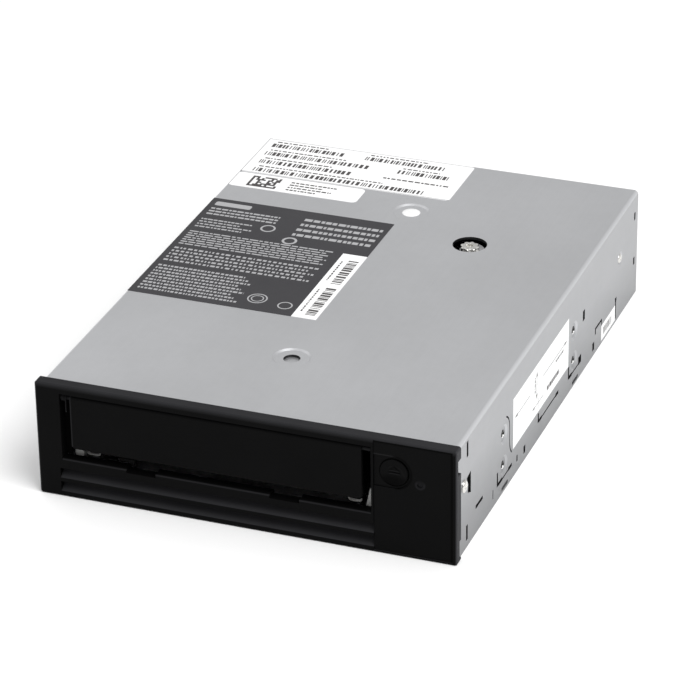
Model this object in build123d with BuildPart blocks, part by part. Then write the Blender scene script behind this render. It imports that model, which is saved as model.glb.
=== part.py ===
"""Half-height data tape drive for a 5.25 inch bay, built as it comes apart on a bench.

Millimetres, +Z up. The front bezel faces -Y, X runs across the drive, and the origin is the
centre of the footprint, on the plane that the chassis rests on. Depths are measured from the
front edge of the chassis, just behind the bezel, and turned into Y by chassis_y().
"""
import os
from math import acos, atan2, cos, degrees, hypot, pi, radians, sin, tan

from build123d import *

# Driving dimensions
CHASSIS_WIDTH = 146.05
CHASSIS_HEIGHT = 41.3
CHASSIS_DEPTH = 205.0
BEZEL_OVERHANG = 0.975  # past the chassis on each side
BEZEL_WIDTH = CHASSIS_WIDTH + 2 * BEZEL_OVERHANG
BEZEL_HEIGHT = 42.3
BEZEL_THICKNESS = 4.0
SHEET = 1.0  # steel of the casing
THIN_SHEET = 0.8  # steel of the loader parts
BEND_RADIUS = 1.6

# Bay mounting pattern, both sides and underneath
MOUNT_DEPTH = 47.4
MOUNT_PITCH = 79.25
SIDE_MOUNT_LOW = 10.0
SIDE_MOUNT_RISE = 11.84
BOTTOM_MOUNT_INSET = 3.175  # from the side walls
BOTTOM_MOUNT_SPREAD = CHASSIS_WIDTH - 2 * BOTTOM_MOUNT_INSET
MOUNT_HOLE_RADIUS = 1.5

# Cartridge that the drive takes, and its travel
CARTRIDGE_WIDTH = 102.0
CARTRIDGE_DEPTH = 105.4
CARTRIDGE_HEIGHT = 21.5
CARTRIDGE_X = -10.2
CARTRIDGE_FRONT = 3.0  # depth of its front edge when it is in
CARTRIDGE_LEVEL = 14.5  # height of its underside at the bezel
LOAD_DROP = 4.2
CAM_TRAVEL = 14.0

# Deck that carries the mechanism
DECK_TOP = 9.0
DECK_THICKNESS = 2.0

# Fits
SLIDE_GAP = 0.1  # pin in a slot, on each side
BORE_GAP = 0.05  # shaft in a bore, radial
AIR_GAP = 0.3  # between moving bodies
SEAM = 0.12  # between fitted mouldings
OVERRUN = 1.0  # how far a cutter passes the faces that it cuts

HALF_WIDTH = CHASSIS_WIDTH / 2
CHASSIS_FRONT_Y = (BEZEL_THICKNESS - CHASSIS_DEPTH) / 2
CHASSIS_REAR_Y = CHASSIS_FRONT_Y + CHASSIS_DEPTH
BEZEL_FRONT_Y = CHASSIS_FRONT_Y - BEZEL_THICKNESS
INNER_WALL = HALF_WIDTH - SHEET
INNER_TOP = CHASSIS_HEIGHT - SHEET
DECK_BOTTOM = DECK_TOP - DECK_THICKNESS


def chassis_y(depth):
    """Y of a place that lies so far behind the front edge of the chassis."""
    return CHASSIS_FRONT_Y + depth


def level(height):
    """Horizontal sketch plane: X across, Y along the depth."""
    return Plane.XY.offset(height)


def upright(y):
    """Sketch plane that faces the front: X across, Z up. Positive extrusion comes forward."""
    return Plane.XZ.offset(-y)


def profile(x):
    """Sketch plane seen from the right: Y along, Z up. Positive extrusion goes right."""
    return Plane.YZ.offset(x)


def rect(low_x, high_x, low_y, high_y, mode=Mode.ADD):
    """Rectangle between two corners of the active sketch."""
    with Locations(((low_x + high_x) / 2, (low_y + high_y) / 2)):
        Rectangle(high_x - low_x, high_y - low_y, mode=mode)


def rect_pair(near, far, low, high, mode=Mode.ADD):
    """Two mirrored rectangles, between near and far from the centre line."""
    rect(near, far, low, high, mode)
    rect(-far, -near, low, high, mode)


os.makedirs("parts", exist_ok=True)

# Places on the casing that several pieces share
DIMPLE_DEPTH = 0.6
MOUNT_DIMPLE_RADIUS = 4.0
DIMPLE_SLOPE = 0.8  # how much a dimple narrows towards its floor
RAIL_FACE = INNER_WALL - DIMPLE_DEPTH  # outer face of the deck's side rails
RAIL_THICKNESS = 4.0
RAIL_TOP = 27.5
MOUNT_DEPTHS = (MOUNT_DEPTH, MOUNT_DEPTH + MOUNT_PITCH)
MOUNT_LEVELS = (SIDE_MOUNT_LOW, SIDE_MOUNT_LOW + SIDE_MOUNT_RISE)
FRONT_SCREW = (5.6, 24.6)  # depth and height of the casing screws
REAR_SCREW = (182.6, 23.9)
CASE_SCREW_RADIUS = 1.25
CASE_SCREW_LENGTH = 5.0
FRONT_HEAD_RADIUS = 2.2
REAR_HEAD_RADIUS = 1.8
CASE_HEAD_HEIGHT = 0.9
CASE_HEAD_ROUND = 0.5
REAR_DIMPLE_RADIUS = 3.1
POST_X = 28.9
POST_DEPTH = 142.2
POST_HOLE_RADIUS = 6.2
TOP_DIMPLE_RADIUS = 7.1
TOP_DIMPLE_DEPTH = 0.5
TOP_DIMPLE_HOLE = 2.9
TOP_DIMPLE_DEPTHS = (41.3, 161.2)
LATCH_LEVELS = ((1.5, 8.0), (32.7, 38.2))  # low and high ends of the bezel's side latches
LATCH_TAB = 1.2  # how far the cover's tabs reach into them

# Pierced relief cuts of both side walls, as shares of the chassis depth and height:
# front end, rear end, lower edge, upper edge
SIDE_CUT_SHARES = (
    (0.0415, 0.0493, 0.814, 0.953),
    (0.0391, 0.0469, 0.064, 0.201),
    (0.0863, 0.1220, 0.226, 0.258),
    (0.1730, 0.1761, 0.080, 0.160),
    (0.1945, 0.2005, 0.130, 0.259),
    (0.2005, 0.2220, 0.125, 0.157),
    (0.2220, 0.2537, 0.130, 0.145),
    (0.2537, 0.2727, 0.125, 0.157),
    (0.2200, 0.2517, 0.024, 0.058),
    (0.2980, 0.3034, 0.094, 0.152),
    (0.3359, 0.3450, 0.068, 0.138),
    (0.4130, 0.4190, 0.157, 0.245),
    (0.4190, 0.4350, 0.150, 0.179),
    (0.4350, 0.5122, 0.157, 0.172),
    (0.5122, 0.5280, 0.150, 0.184),
    (0.5836, 0.5898, 0.133, 0.254),
    (0.5898, 0.6050, 0.128, 0.160),
    (0.6050, 0.6430, 0.135, 0.150),
    (0.6430, 0.6600, 0.128, 0.203),
    (0.6083, 0.6415, 0.020, 0.054),
    (0.6664, 0.6780, 0.495, 0.592),
    (0.7279, 0.7386, 0.051, 0.128),
    (0.7424, 0.7478, 0.179, 0.245),
    (0.7478, 0.7795, 0.223, 0.245),
    (0.7795, 0.7839, 0.179, 0.245),
    (0.8662, 0.8716, 0.036, 0.220),
    (0.8644, 0.8734, 0.208, 0.244),
    (0.9761, 0.9839, 0.755, 0.828),
    (0.9771, 0.9849, 0.312, 0.383),
)
# Arrow-shaped window behind the front casing screw, and the bowed slit, in the same shares
ARROW_SHARES = (
    (0.0620, 0.646),
    (0.0425, 0.629),
    (0.0420, 0.598),
    (0.0488, 0.562),
    (0.0468, 0.484),
    (0.0620, 0.450),
)
BOW_SHARES = ((0.2420, 0.661), (0.2580, 0.576), (0.2600, 0.383), (0.2717, 0.259))
BOW_WIDTH = 0.6


def on_wall(shares):
    """Sketch point on a side wall, from its shares of the chassis depth and height."""
    return chassis_y(shares[0] * CHASSIS_DEPTH), shares[1] * CHASSIS_HEIGHT


def dimple_taper(depth):
    """Draft angle that narrows a dimple by DIMPLE_SLOPE over its depth."""
    return degrees(atan2(DIMPLE_SLOPE, depth))


def wall_dimple(place, radius):
    """Round dimple pressed into both side walls, with its bulge on the inside."""
    spot = (chassis_y(place[0]), place[1])
    slope = dimple_taper(DIMPLE_DEPTH)
    for side in (1, -1):
        with BuildSketch(profile(side * INNER_WALL)) as bulge:
            with Locations(spot):
                Circle(radius)
        extrude(bulge.sketch, amount=-side * DIMPLE_DEPTH, taper=slope)
        with BuildSketch(profile(side * HALF_WIDTH)) as dish:
            with Locations(spot):
                Circle(radius - DIMPLE_SLOPE / 2)
        extrude(dish.sketch, amount=-side * DIMPLE_DEPTH, taper=slope, mode=Mode.SUBTRACT)


# Top cover: one folded sheet, top and both side walls
with BuildPart() as top_cover:
    with BuildSketch(upright(CHASSIS_FRONT_Y)) as cover_section:
        rect(-HALF_WIDTH, HALF_WIDTH, 0, CHASSIS_HEIGHT)
        fillet(cover_section.vertices().group_by(Axis.Y)[-1], BEND_RADIUS)
        rect(-INNER_WALL, INNER_WALL, 0, INNER_TOP, mode=Mode.SUBTRACT)
    extrude(amount=-CHASSIS_DEPTH)
    with BuildSketch(upright(CHASSIS_FRONT_Y)):
        for latch_low, latch_high in LATCH_LEVELS:
            rect_pair(INNER_WALL, HALF_WIDTH, latch_low + SEAM, latch_high - SEAM)
    extrude(amount=LATCH_TAB)
    for mount_depth in MOUNT_DEPTHS:
        for mount_level in MOUNT_LEVELS:
            wall_dimple((mount_depth, mount_level), MOUNT_DIMPLE_RADIUS)
    wall_dimple(REAR_SCREW, REAR_DIMPLE_RADIUS)
    with BuildSketch(profile(-HALF_WIDTH - OVERRUN)):
        with Locations([(chassis_y(d), z) for d in MOUNT_DEPTHS for z in MOUNT_LEVELS]):
            Circle(MOUNT_HOLE_RADIUS)
        with Locations([(chassis_y(d), z) for d, z in (FRONT_SCREW, REAR_SCREW)]):
            Circle(CASE_SCREW_RADIUS + BORE_GAP)
        for front, rear, low, high in SIDE_CUT_SHARES:
            front_y, low_z = on_wall((front, low))
            rear_y, high_z = on_wall((rear, high))
            rect(front_y, rear_y, low_z, high_z)
        with BuildLine():
            Polyline([on_wall(point) for point in ARROW_SHARES], close=True)
        make_face()
        with BuildLine() as bow_line:
            Spline([on_wall(point) for point in BOW_SHARES])
        trace(bow_line.line, BOW_WIDTH)
    extrude(amount=CHASSIS_WIDTH + 2 * OVERRUN, mode=Mode.SUBTRACT)
    for dimple_depth in TOP_DIMPLE_DEPTHS:
        with BuildSketch(level(INNER_TOP)):
            with Locations((0, chassis_y(dimple_depth))):
                Circle(TOP_DIMPLE_RADIUS)
        extrude(amount=-TOP_DIMPLE_DEPTH, taper=dimple_taper(TOP_DIMPLE_DEPTH))
        with BuildSketch(level(CHASSIS_HEIGHT)):
            with Locations((0, chassis_y(dimple_depth))):
                Circle(TOP_DIMPLE_RADIUS - DIMPLE_SLOPE / 2)
        extrude(amount=-TOP_DIMPLE_DEPTH, taper=dimple_taper(TOP_DIMPLE_DEPTH), mode=Mode.SUBTRACT)
    with BuildSketch(level(INNER_TOP - TOP_DIMPLE_DEPTH - OVERRUN)):
        with Locations([(0, chassis_y(d)) for d in TOP_DIMPLE_DEPTHS]):
            Circle(TOP_DIMPLE_HOLE)
        with Locations((POST_X, chassis_y(POST_DEPTH))):
            Circle(POST_HOLE_RADIUS)
    extrude(amount=SHEET + TOP_DIMPLE_DEPTH + 2 * OVERRUN, mode=Mode.SUBTRACT)
top_cover.part.label = "top_cover"
export_step(top_cover.part, "parts/top_cover.step")

# Bottom cover: a flat pan between the side walls, with folded lips that carry the deck
PAN_GAP = 0.05
LIP_NOTCH = 9.0
BURR_RADIUS = 2.1
BURR_HEIGHT = 1.6
PAN_HALF = INNER_WALL - PAN_GAP
LIP_INNER = PAN_HALF - SHEET
BOTTOM_MOUNTS = [(side * BOTTOM_MOUNT_SPREAD / 2, chassis_y(d)) for side in (1, -1) for d in MOUNT_DEPTHS]


with BuildPart() as bottom_cover:
    with BuildSketch(upright(CHASSIS_FRONT_Y)):
        rect(-PAN_HALF, PAN_HALF, 0, SHEET)
        rect_pair(LIP_INNER, PAN_HALF, 0, DECK_BOTTOM)
    extrude(amount=-CHASSIS_DEPTH)
    with BuildSketch(level(SHEET)):
        for mount_depth in MOUNT_DEPTHS:
            notch_y = chassis_y(mount_depth)
            rect_pair(LIP_INNER - OVERRUN, INNER_WALL, notch_y - LIP_NOTCH / 2, notch_y + LIP_NOTCH / 2)
        rect_pair(LIP_INNER - OVERRUN, INNER_WALL, CHASSIS_REAR_Y - LIP_NOTCH, CHASSIS_REAR_Y)
    extrude(amount=DECK_BOTTOM, mode=Mode.SUBTRACT)
    with BuildSketch(level(SHEET)):
        with Locations(BOTTOM_MOUNTS):
            Circle(BURR_RADIUS)
    extrude(amount=BURR_HEIGHT)
    with BuildSketch(level(-OVERRUN)):
        with Locations(BOTTOM_MOUNTS):
            Circle(MOUNT_HOLE_RADIUS)
    extrude(amount=SHEET + BURR_HEIGHT + 2 * OVERRUN, mode=Mode.SUBTRACT)
bottom_cover.part.label = "bottom_cover"
export_step(bottom_cover.part, "parts/bottom_cover.step")

# Rear panel with the fan grille, the connector window and a few vents
CONNECTOR_X = -29.0
CONNECTOR_WIDTH = 42.0
CONNECTOR_HEIGHT = 5.4
BOARD_BOTTOM = 3.2
BOARD_THICKNESS = 1.6
BOARD_TOP = BOARD_BOTTOM + BOARD_THICKNESS
FAN_WALL_GAP = 8.0
FAN_SIZE = 38.0
FAN_X = INNER_WALL - FAN_WALL_GAP - FAN_SIZE / 2
FAN_DEPTH = 20.0
FAN_Z = (SHEET + INNER_TOP) / 2
FAN_BORE = 17.4
GRILLE_SLOT = 2.4
GRILLE_RADII = (5.2, 8.6, 12.0, 15.4)
SPOKE_WIDTH = 2.0
SPOKE_ANGLE = 45  # degrees
FLANGE_LENGTH = 5.5
FLANGE_LOW = 12.0
FLANGE_HIGH = 36.0
REAR_VENT_COUNT = 9
REAR_VENT_WIDTH = 2.2
REAR_VENT_HEIGHT = 14.0
REAR_VENT_PITCH = 6.5
REAR_VENT_X = -29.0
REAR_VENT_Z = 25.0
REAR_PLANE_Y = CHASSIS_REAR_Y - SHEET
with BuildPart() as rear_panel:
    with BuildSketch(upright(REAR_PLANE_Y)) as rear_outline:
        rect(-PAN_HALF, PAN_HALF, SHEET, INNER_TOP)
        with Locations((CONNECTOR_X, BOARD_TOP + CONNECTOR_HEIGHT / 2)):
            Rectangle(CONNECTOR_WIDTH + 2 * AIR_GAP, CONNECTOR_HEIGHT + 2 * AIR_GAP, mode=Mode.SUBTRACT)
        with Locations((REAR_VENT_X, REAR_VENT_Z)):
            with GridLocations(REAR_VENT_PITCH, 0, REAR_VENT_COUNT, 1):
                SlotOverall(REAR_VENT_HEIGHT, REAR_VENT_WIDTH, rotation=90, mode=Mode.SUBTRACT)
    extrude(amount=-SHEET)
    with BuildSketch(upright(REAR_PLANE_Y + OVERRUN)) as grille:
        with Locations((FAN_X, FAN_Z)):
            for ring_radius in GRILLE_RADII:
                Circle(ring_radius + GRILLE_SLOT / 2)
                Circle(ring_radius - GRILLE_SLOT / 2, mode=Mode.SUBTRACT)
            Rectangle(2 * FAN_BORE, SPOKE_WIDTH, rotation=SPOKE_ANGLE, mode=Mode.SUBTRACT)
            Rectangle(2 * FAN_BORE, SPOKE_WIDTH, rotation=-SPOKE_ANGLE, mode=Mode.SUBTRACT)
    extrude(amount=-SHEET - 2 * OVERRUN, mode=Mode.SUBTRACT)
    with BuildSketch(upright(REAR_PLANE_Y)):
        rect_pair(LIP_INNER, PAN_HALF, FLANGE_LOW, FLANGE_HIGH)
    extrude(amount=FLANGE_LENGTH)
rear_panel.part.label = "rear_panel"
export_step(rear_panel.part, "parts/rear_panel.step")

# Bezel: one moulding with the cartridge opening, two air grooves and a pocket for the panel
BEZEL_BASE = 0.1
BEZEL_CORNER = 0.8
BEZEL_EDGE = 0.35
OPENING_LEFT_GAP = 4.0
OPENING_RIGHT_GAP = 3.8
OPENING_LEFT = CARTRIDGE_X - CARTRIDGE_WIDTH / 2 - OPENING_LEFT_GAP
OPENING_RIGHT = CARTRIDGE_X + CARTRIDGE_WIDTH / 2 + OPENING_RIGHT_GAP
OPENING_TOP = 39.0
SILL = CARTRIDGE_LEVEL
SILL_NOTCHES = ((-42.0, -31.5), (9.0, 19.5))
SILL_NOTCH_DEPTH = 1.2
PANEL_POST = 0.8  # bezel left between the opening and the panel
PANEL_EDGE = 1.5  # bezel left on the panel's other side
PANEL_LEFT = OPENING_RIGHT + PANEL_POST
PANEL_RIGHT = BEZEL_WIDTH / 2 - PANEL_EDGE
PANEL_LOW = 0.9
PANEL_HIGH = 41.7
PANEL_THICKNESS = 1.8
PANEL_RECESS = 0.2
POCKET_LEDGE = 1.0
GROOVE_START = 1.0  # from the opening's left end
GROOVE_LEFT = OPENING_LEFT - GROOVE_START
GROOVE_DEPTH = 2.9
GROOVE_HEIGHT = 3.7
GROOVE_LEVELS = (7.1, 2.0)
GROOVE_ROOF_DROP = 0.2
GROOVE_POCKET = 1.7  # height of the groove's back wall, which the vents pierce out of sight
VENT_COUNT = 11
VENT_LENGTH = 8.8
VENT_HEIGHT = 0.9
VENT_PITCH = 10.0
LATCH_REACH = 1.4
LATCH_POCKET = 2.8  # the upper latch goes on in front of its tab
LATCH_POCKET_DEPTH = 1.0
LUG_WIDTH = 5.0
LUG_LENGTH = 8.0
LUG_HEIGHT = 9.0
DOOR_PIN_RADIUS = 0.8
DOOR_PIN_LEVEL = 37.4
KNUCKLE_RADIUS = 1.25
DOOR_RECESS = 0.4
DOOR_PIN_Y = BEZEL_FRONT_Y + DOOR_RECESS + KNUCKLE_RADIUS
DOOR_PIN_SEAT_LEFT = 1.5
DOOR_PIN_SEAT_RIGHT = 0.6
LUG_OUTER = INNER_WALL - SEAM
LUG_INNER = LUG_OUTER - LUG_WIDTH
LUG_LOW = FRONT_SCREW[1] - LUG_HEIGHT / 2
WINDOW_RIGHT = LUG_INNER - POCKET_LEDGE
PIN_SEAT_LEFT_X = OPENING_LEFT - DOOR_PIN_SEAT_LEFT
PIN_SEAT_LENGTH = OPENING_RIGHT + DOOR_PIN_SEAT_RIGHT - PIN_SEAT_LEFT_X
with BuildPart() as bezel:
    with BuildSketch(upright(CHASSIS_FRONT_Y)) as bezel_outline:
        rect(-BEZEL_WIDTH / 2, BEZEL_WIDTH / 2, BEZEL_BASE, BEZEL_BASE + BEZEL_HEIGHT)
        fillet(bezel_outline.vertices(), BEZEL_CORNER)
    extrude(amount=BEZEL_THICKNESS)
    chamfer(bezel.faces().sort_by(Axis.Y)[0].edges(), BEZEL_EDGE)
    with BuildSketch(upright(CHASSIS_FRONT_Y + OVERRUN)):
        rect(OPENING_LEFT, OPENING_RIGHT, SILL, OPENING_TOP)
        for notch_left, notch_right in SILL_NOTCHES:
            rect(notch_left, notch_right, SILL - SILL_NOTCH_DEPTH, SILL)
        rect(PANEL_LEFT + POCKET_LEDGE, WINDOW_RIGHT, PANEL_LOW + POCKET_LEDGE, PANEL_HIGH - POCKET_LEDGE)
    extrude(amount=BEZEL_THICKNESS + 2 * OVERRUN, mode=Mode.SUBTRACT)
    with BuildSketch(upright(BEZEL_FRONT_Y + PANEL_RECESS + PANEL_THICKNESS)):
        rect(PANEL_LEFT, PANEL_RIGHT, PANEL_LOW, PANEL_HIGH)
    extrude(amount=PANEL_THICKNESS + OVERRUN, mode=Mode.SUBTRACT)
    with BuildSketch(profile(GROOVE_LEFT)):
        for groove_low in GROOVE_LEVELS:
            groove_high = groove_low + GROOVE_HEIGHT
            deep_y = BEZEL_FRONT_Y + GROOVE_DEPTH
            with BuildLine():
                Polyline(
                    (BEZEL_FRONT_Y - OVERRUN, groove_low),
                    (BEZEL_FRONT_Y, groove_low),
                    (deep_y, groove_high - GROOVE_POCKET),
                    (deep_y, groove_high - GROOVE_ROOF_DROP),
                    (BEZEL_FRONT_Y - OVERRUN, groove_high),
                    close=True,
                )
            make_face()
    extrude(amount=PANEL_LEFT - GROOVE_LEFT, mode=Mode.SUBTRACT)
    with BuildSketch(upright(CHASSIS_FRONT_Y + OVERRUN)):
        for groove_low in GROOVE_LEVELS:
            vent_z = groove_low + GROOVE_HEIGHT - (GROOVE_POCKET + GROOVE_ROOF_DROP) / 2
            with Locations(((GROOVE_LEFT + PANEL_LEFT) / 2, vent_z)):
                with GridLocations(VENT_PITCH, 0, VENT_COUNT, 1):
                    Rectangle(VENT_LENGTH, VENT_HEIGHT)
    extrude(amount=BEZEL_THICKNESS, mode=Mode.SUBTRACT)
    with BuildSketch(upright(CHASSIS_FRONT_Y)):
        for latch_low, latch_high in LATCH_LEVELS:
            rect_pair(INNER_WALL - SEAM, BEZEL_WIDTH / 2, latch_low, latch_high)
    extrude(amount=LATCH_REACH, mode=Mode.SUBTRACT)
    with BuildSketch(upright(CHASSIS_FRONT_Y)):
        rect_pair(BEZEL_WIDTH / 2 - LATCH_POCKET_DEPTH, BEZEL_WIDTH / 2, *LATCH_LEVELS[1])
    extrude(amount=LATCH_POCKET, mode=Mode.SUBTRACT)
    with BuildSketch(upright(CHASSIS_FRONT_Y)):
        rect_pair(LUG_INNER, LUG_OUTER, LUG_LOW, LUG_LOW + LUG_HEIGHT)
    extrude(amount=-LUG_LENGTH)
    with BuildSketch(profile(-HALF_WIDTH)):
        with Locations((chassis_y(FRONT_SCREW[0]), FRONT_SCREW[1])):
            Circle(CASE_SCREW_RADIUS)
    extrude(amount=CHASSIS_WIDTH, mode=Mode.SUBTRACT)
    with BuildSketch(profile(PIN_SEAT_LEFT_X)):
        with Locations((DOOR_PIN_Y, DOOR_PIN_LEVEL)):
            Circle(DOOR_PIN_RADIUS)
    extrude(amount=PIN_SEAT_LENGTH, mode=Mode.SUBTRACT)
bezel.part.label = "bezel"
export_step(bezel.part, "parts/bezel.step")

# Control panel: the fitted plate with the button's hole and the status light's hole
BUTTON_INSET = 7.1
BUTTON_X = PANEL_LEFT + BUTTON_INSET
BUTTON_Z = 30.8
BUTTON_RADIUS = 4.8
BUTTON_GAP = 0.25
PAD_RADIUS = 5.8
PAD_DEPTH = 0.3
LIGHT_OFFSET = 8.9
LIGHT_X = BUTTON_X + LIGHT_OFFSET
LIGHT_Z = 27.8
LIGHT_RADIUS = 1.8
PANEL_FACE_Y = BEZEL_FRONT_Y + PANEL_RECESS
PANEL_BACK_Y = PANEL_FACE_Y + PANEL_THICKNESS
with BuildPart() as control_panel:
    with BuildSketch(upright(PANEL_BACK_Y)):
        rect(PANEL_LEFT + SEAM, PANEL_RIGHT - SEAM, PANEL_LOW + SEAM, PANEL_HIGH - SEAM)
    extrude(amount=PANEL_THICKNESS)
    with BuildSketch(upright(PANEL_FACE_Y + PAD_DEPTH)):
        with Locations((BUTTON_X, BUTTON_Z)):
            Circle(PAD_RADIUS)
        rect(PANEL_LEFT, BUTTON_X, BUTTON_Z - PAD_RADIUS, BUTTON_Z + PAD_RADIUS)
    extrude(amount=PAD_DEPTH + OVERRUN, mode=Mode.SUBTRACT)
    with BuildSketch(upright(PANEL_BACK_Y + OVERRUN)):
        with Locations((BUTTON_X, BUTTON_Z)):
            Circle(BUTTON_RADIUS + BUTTON_GAP)
        with Locations((LIGHT_X, LIGHT_Z)):
            Circle(LIGHT_RADIUS)
    extrude(amount=PANEL_THICKNESS + 2 * OVERRUN, mode=Mode.SUBTRACT)
control_panel.part.label = "control_panel"
export_step(control_panel.part, "parts/control_panel.step")

# Eject button: dished cap, retaining flange and a stem that ends short of the switch's plunger
FRONT_BOARD_DEPTH = 8.0
SWITCH_SIZE = 6.2
SWITCH_BODY = 3.0
PLUNGER_RADIUS = 1.6
PLUNGER_LENGTH = 0.7
BUTTON_CAP_DEPTH = 2.1
BUTTON_FLANGE_RADIUS = 5.6
BUTTON_FLANGE = 0.7
BUTTON_STEM_RADIUS = 1.5
BUTTON_TRAVEL = 1.0
DISH_RADIUS = 14.0
DISH_DEPTH = 0.6
DISH_DROP = 1.6
BUTTON_FACE_Y = PANEL_FACE_Y
BUTTON_BACK_Y = BUTTON_FACE_Y + BUTTON_CAP_DEPTH + BUTTON_FLANGE
PLUNGER_Y = chassis_y(FRONT_BOARD_DEPTH - SWITCH_BODY - PLUNGER_LENGTH)
BUTTON_STEM = PLUNGER_Y - AIR_GAP - BUTTON_TRAVEL - BUTTON_BACK_Y
with BuildPart() as eject_button:
    with BuildSketch(upright(BUTTON_FACE_Y)):
        with Locations((BUTTON_X, BUTTON_Z)):
            Circle(BUTTON_RADIUS)
    extrude(amount=-BUTTON_CAP_DEPTH)
    with BuildSketch(upright(BUTTON_FACE_Y + BUTTON_CAP_DEPTH)):
        with Locations((BUTTON_X, BUTTON_Z)):
            Circle(BUTTON_FLANGE_RADIUS)
    extrude(amount=-BUTTON_FLANGE)
    with BuildSketch(upright(BUTTON_BACK_Y)):
        with Locations((BUTTON_X, BUTTON_Z)):
            Circle(BUTTON_STEM_RADIUS)
    extrude(amount=-BUTTON_STEM)
    with Locations((BUTTON_X, BUTTON_FACE_Y + DISH_DEPTH - DISH_RADIUS, BUTTON_Z - DISH_DROP)):
        Sphere(DISH_RADIUS, mode=Mode.SUBTRACT)
eject_button.part.label = "eject_button"
export_step(eject_button.part, "parts/eject_button.step")

# Tape door: the flap that the cartridge pushes in, with its hinge barrel along the top
DOOR_MARGIN = 0.45  # past the cartridge on each side, and clear of the tray's walls
DOOR_LEFT = CARTRIDGE_X - CARTRIDGE_WIDTH / 2 - DOOR_MARGIN
DOOR_RIGHT = CARTRIDGE_X + CARTRIDGE_WIDTH / 2 + DOOR_MARGIN
DOOR_LOW = 18.8
DOOR_THICKNESS = 1.6
DOOR_CORNER = 0.9
DOOR_RIB_WIDTH = 0.8
DOOR_RIB_HEIGHT = 0.6
DOOR_RIB_COUNT = 4
DOOR_FACE_Y = DOOR_PIN_Y - KNUCKLE_RADIUS
DOOR_BACK_Y = DOOR_FACE_Y + DOOR_THICKNESS
DOOR_SPAN = DOOR_RIGHT - DOOR_LEFT
with BuildPart() as tape_door:
    with BuildSketch(upright(DOOR_BACK_Y)) as door_outline:
        rect(DOOR_LEFT, DOOR_RIGHT, DOOR_LOW, DOOR_PIN_LEVEL)
        chamfer(door_outline.vertices().group_by(Axis.Y)[0], DOOR_CORNER)
    extrude(amount=DOOR_THICKNESS)
    with BuildSketch(upright(DOOR_BACK_Y)):
        with Locations(((DOOR_LEFT + DOOR_RIGHT) / 2, (DOOR_LOW + DOOR_PIN_LEVEL) / 2)):
            with GridLocations(DOOR_SPAN / DOOR_RIB_COUNT, 0, DOOR_RIB_COUNT, 1):
                Rectangle(DOOR_RIB_WIDTH, DOOR_PIN_LEVEL - DOOR_LOW - 2 * DOOR_CORNER)
    extrude(amount=-DOOR_RIB_HEIGHT)
    with BuildSketch(profile(DOOR_LEFT)):
        with Locations((DOOR_PIN_Y, DOOR_PIN_LEVEL)):
            Circle(KNUCKLE_RADIUS)
    extrude(amount=DOOR_SPAN)
    with BuildSketch(profile(DOOR_LEFT - OVERRUN)):
        with Locations((DOOR_PIN_Y, DOOR_PIN_LEVEL)):
            Circle(DOOR_PIN_RADIUS + BORE_GAP)
    extrude(amount=DOOR_SPAN + 2 * OVERRUN, mode=Mode.SUBTRACT)
tape_door.part.label = "tape_door"
export_step(tape_door.part, "parts/tape_door.step")

with BuildPart() as door_pin:
    with BuildSketch(profile(PIN_SEAT_LEFT_X)):
        with Locations((DOOR_PIN_Y, DOOR_PIN_LEVEL)):
            Circle(DOOR_PIN_RADIUS)
    extrude(amount=PIN_SEAT_LENGTH)
door_pin.part.label = "door_pin"
export_step(door_pin.part, "parts/door_pin.step")

# Door spring: a short torsion coil on the pin, in the gap at the door's left end
SPRING_WIRE = 0.2  # radius
SPRING_PITCH = 0.5
SPRING_TURNS = 3.25
SPRING_LEG = 5.0
SPRING_RADIUS = DOOR_PIN_RADIUS + 2 * SPRING_WIRE
SPRING_LEFT = OPENING_LEFT + SPRING_PITCH
with BuildPart() as door_spring:
    with BuildLine() as coil_path:
        Helix(
            pitch=SPRING_PITCH,
            height=SPRING_PITCH * SPRING_TURNS,
            radius=SPRING_RADIUS,
            center=(SPRING_LEFT, DOOR_PIN_Y, DOOR_PIN_LEVEL),
            direction=(1, 0, 0),
        )
    with BuildSketch(Plane(origin=coil_path.line @ 0, z_dir=coil_path.line % 0)):
        Circle(SPRING_WIRE)
    sweep(path=coil_path.line)
    leg_top = coil_path.line @ 1
    with BuildSketch(level(leg_top.Z - SPRING_LEG)):
        with Locations((leg_top.X, leg_top.Y)):
            Circle(SPRING_WIRE)
    extrude(amount=SPRING_LEG)
door_spring.part.label = "door_spring"
export_step(door_spring.part, "parts/door_spring.step")

# Front board with the eject switch, and the status light's guide
FRONT_BOARD_GAP = 1.8
FRONT_BOARD_LUG_GAP = 0.9
FRONT_BOARD_LEFT = PANEL_LEFT + FRONT_BOARD_GAP
FRONT_BOARD_RIGHT = LUG_INNER - FRONT_BOARD_LUG_GAP
FRONT_BOARD_TOP = 37.5
LAMP_RADIUS = 1.3
LAMP_LENGTH = 1.2
with BuildPart() as front_board:
    with BuildSketch(upright(chassis_y(FRONT_BOARD_DEPTH))) as front_board_outline:
        rect(FRONT_BOARD_LEFT, FRONT_BOARD_RIGHT, DECK_TOP, FRONT_BOARD_TOP)
        chamfer(front_board_outline.vertices().group_by(Axis.Y)[-1], BOARD_THICKNESS)
    extrude(amount=-BOARD_THICKNESS)
    with BuildSketch(upright(chassis_y(FRONT_BOARD_DEPTH))):
        with Locations((LIGHT_X, LIGHT_Z)):
            Circle(LAMP_RADIUS)
    extrude(amount=LAMP_LENGTH)
front_board.part.label = "front_board"
export_step(front_board.part, "parts/front_board.step")

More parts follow.
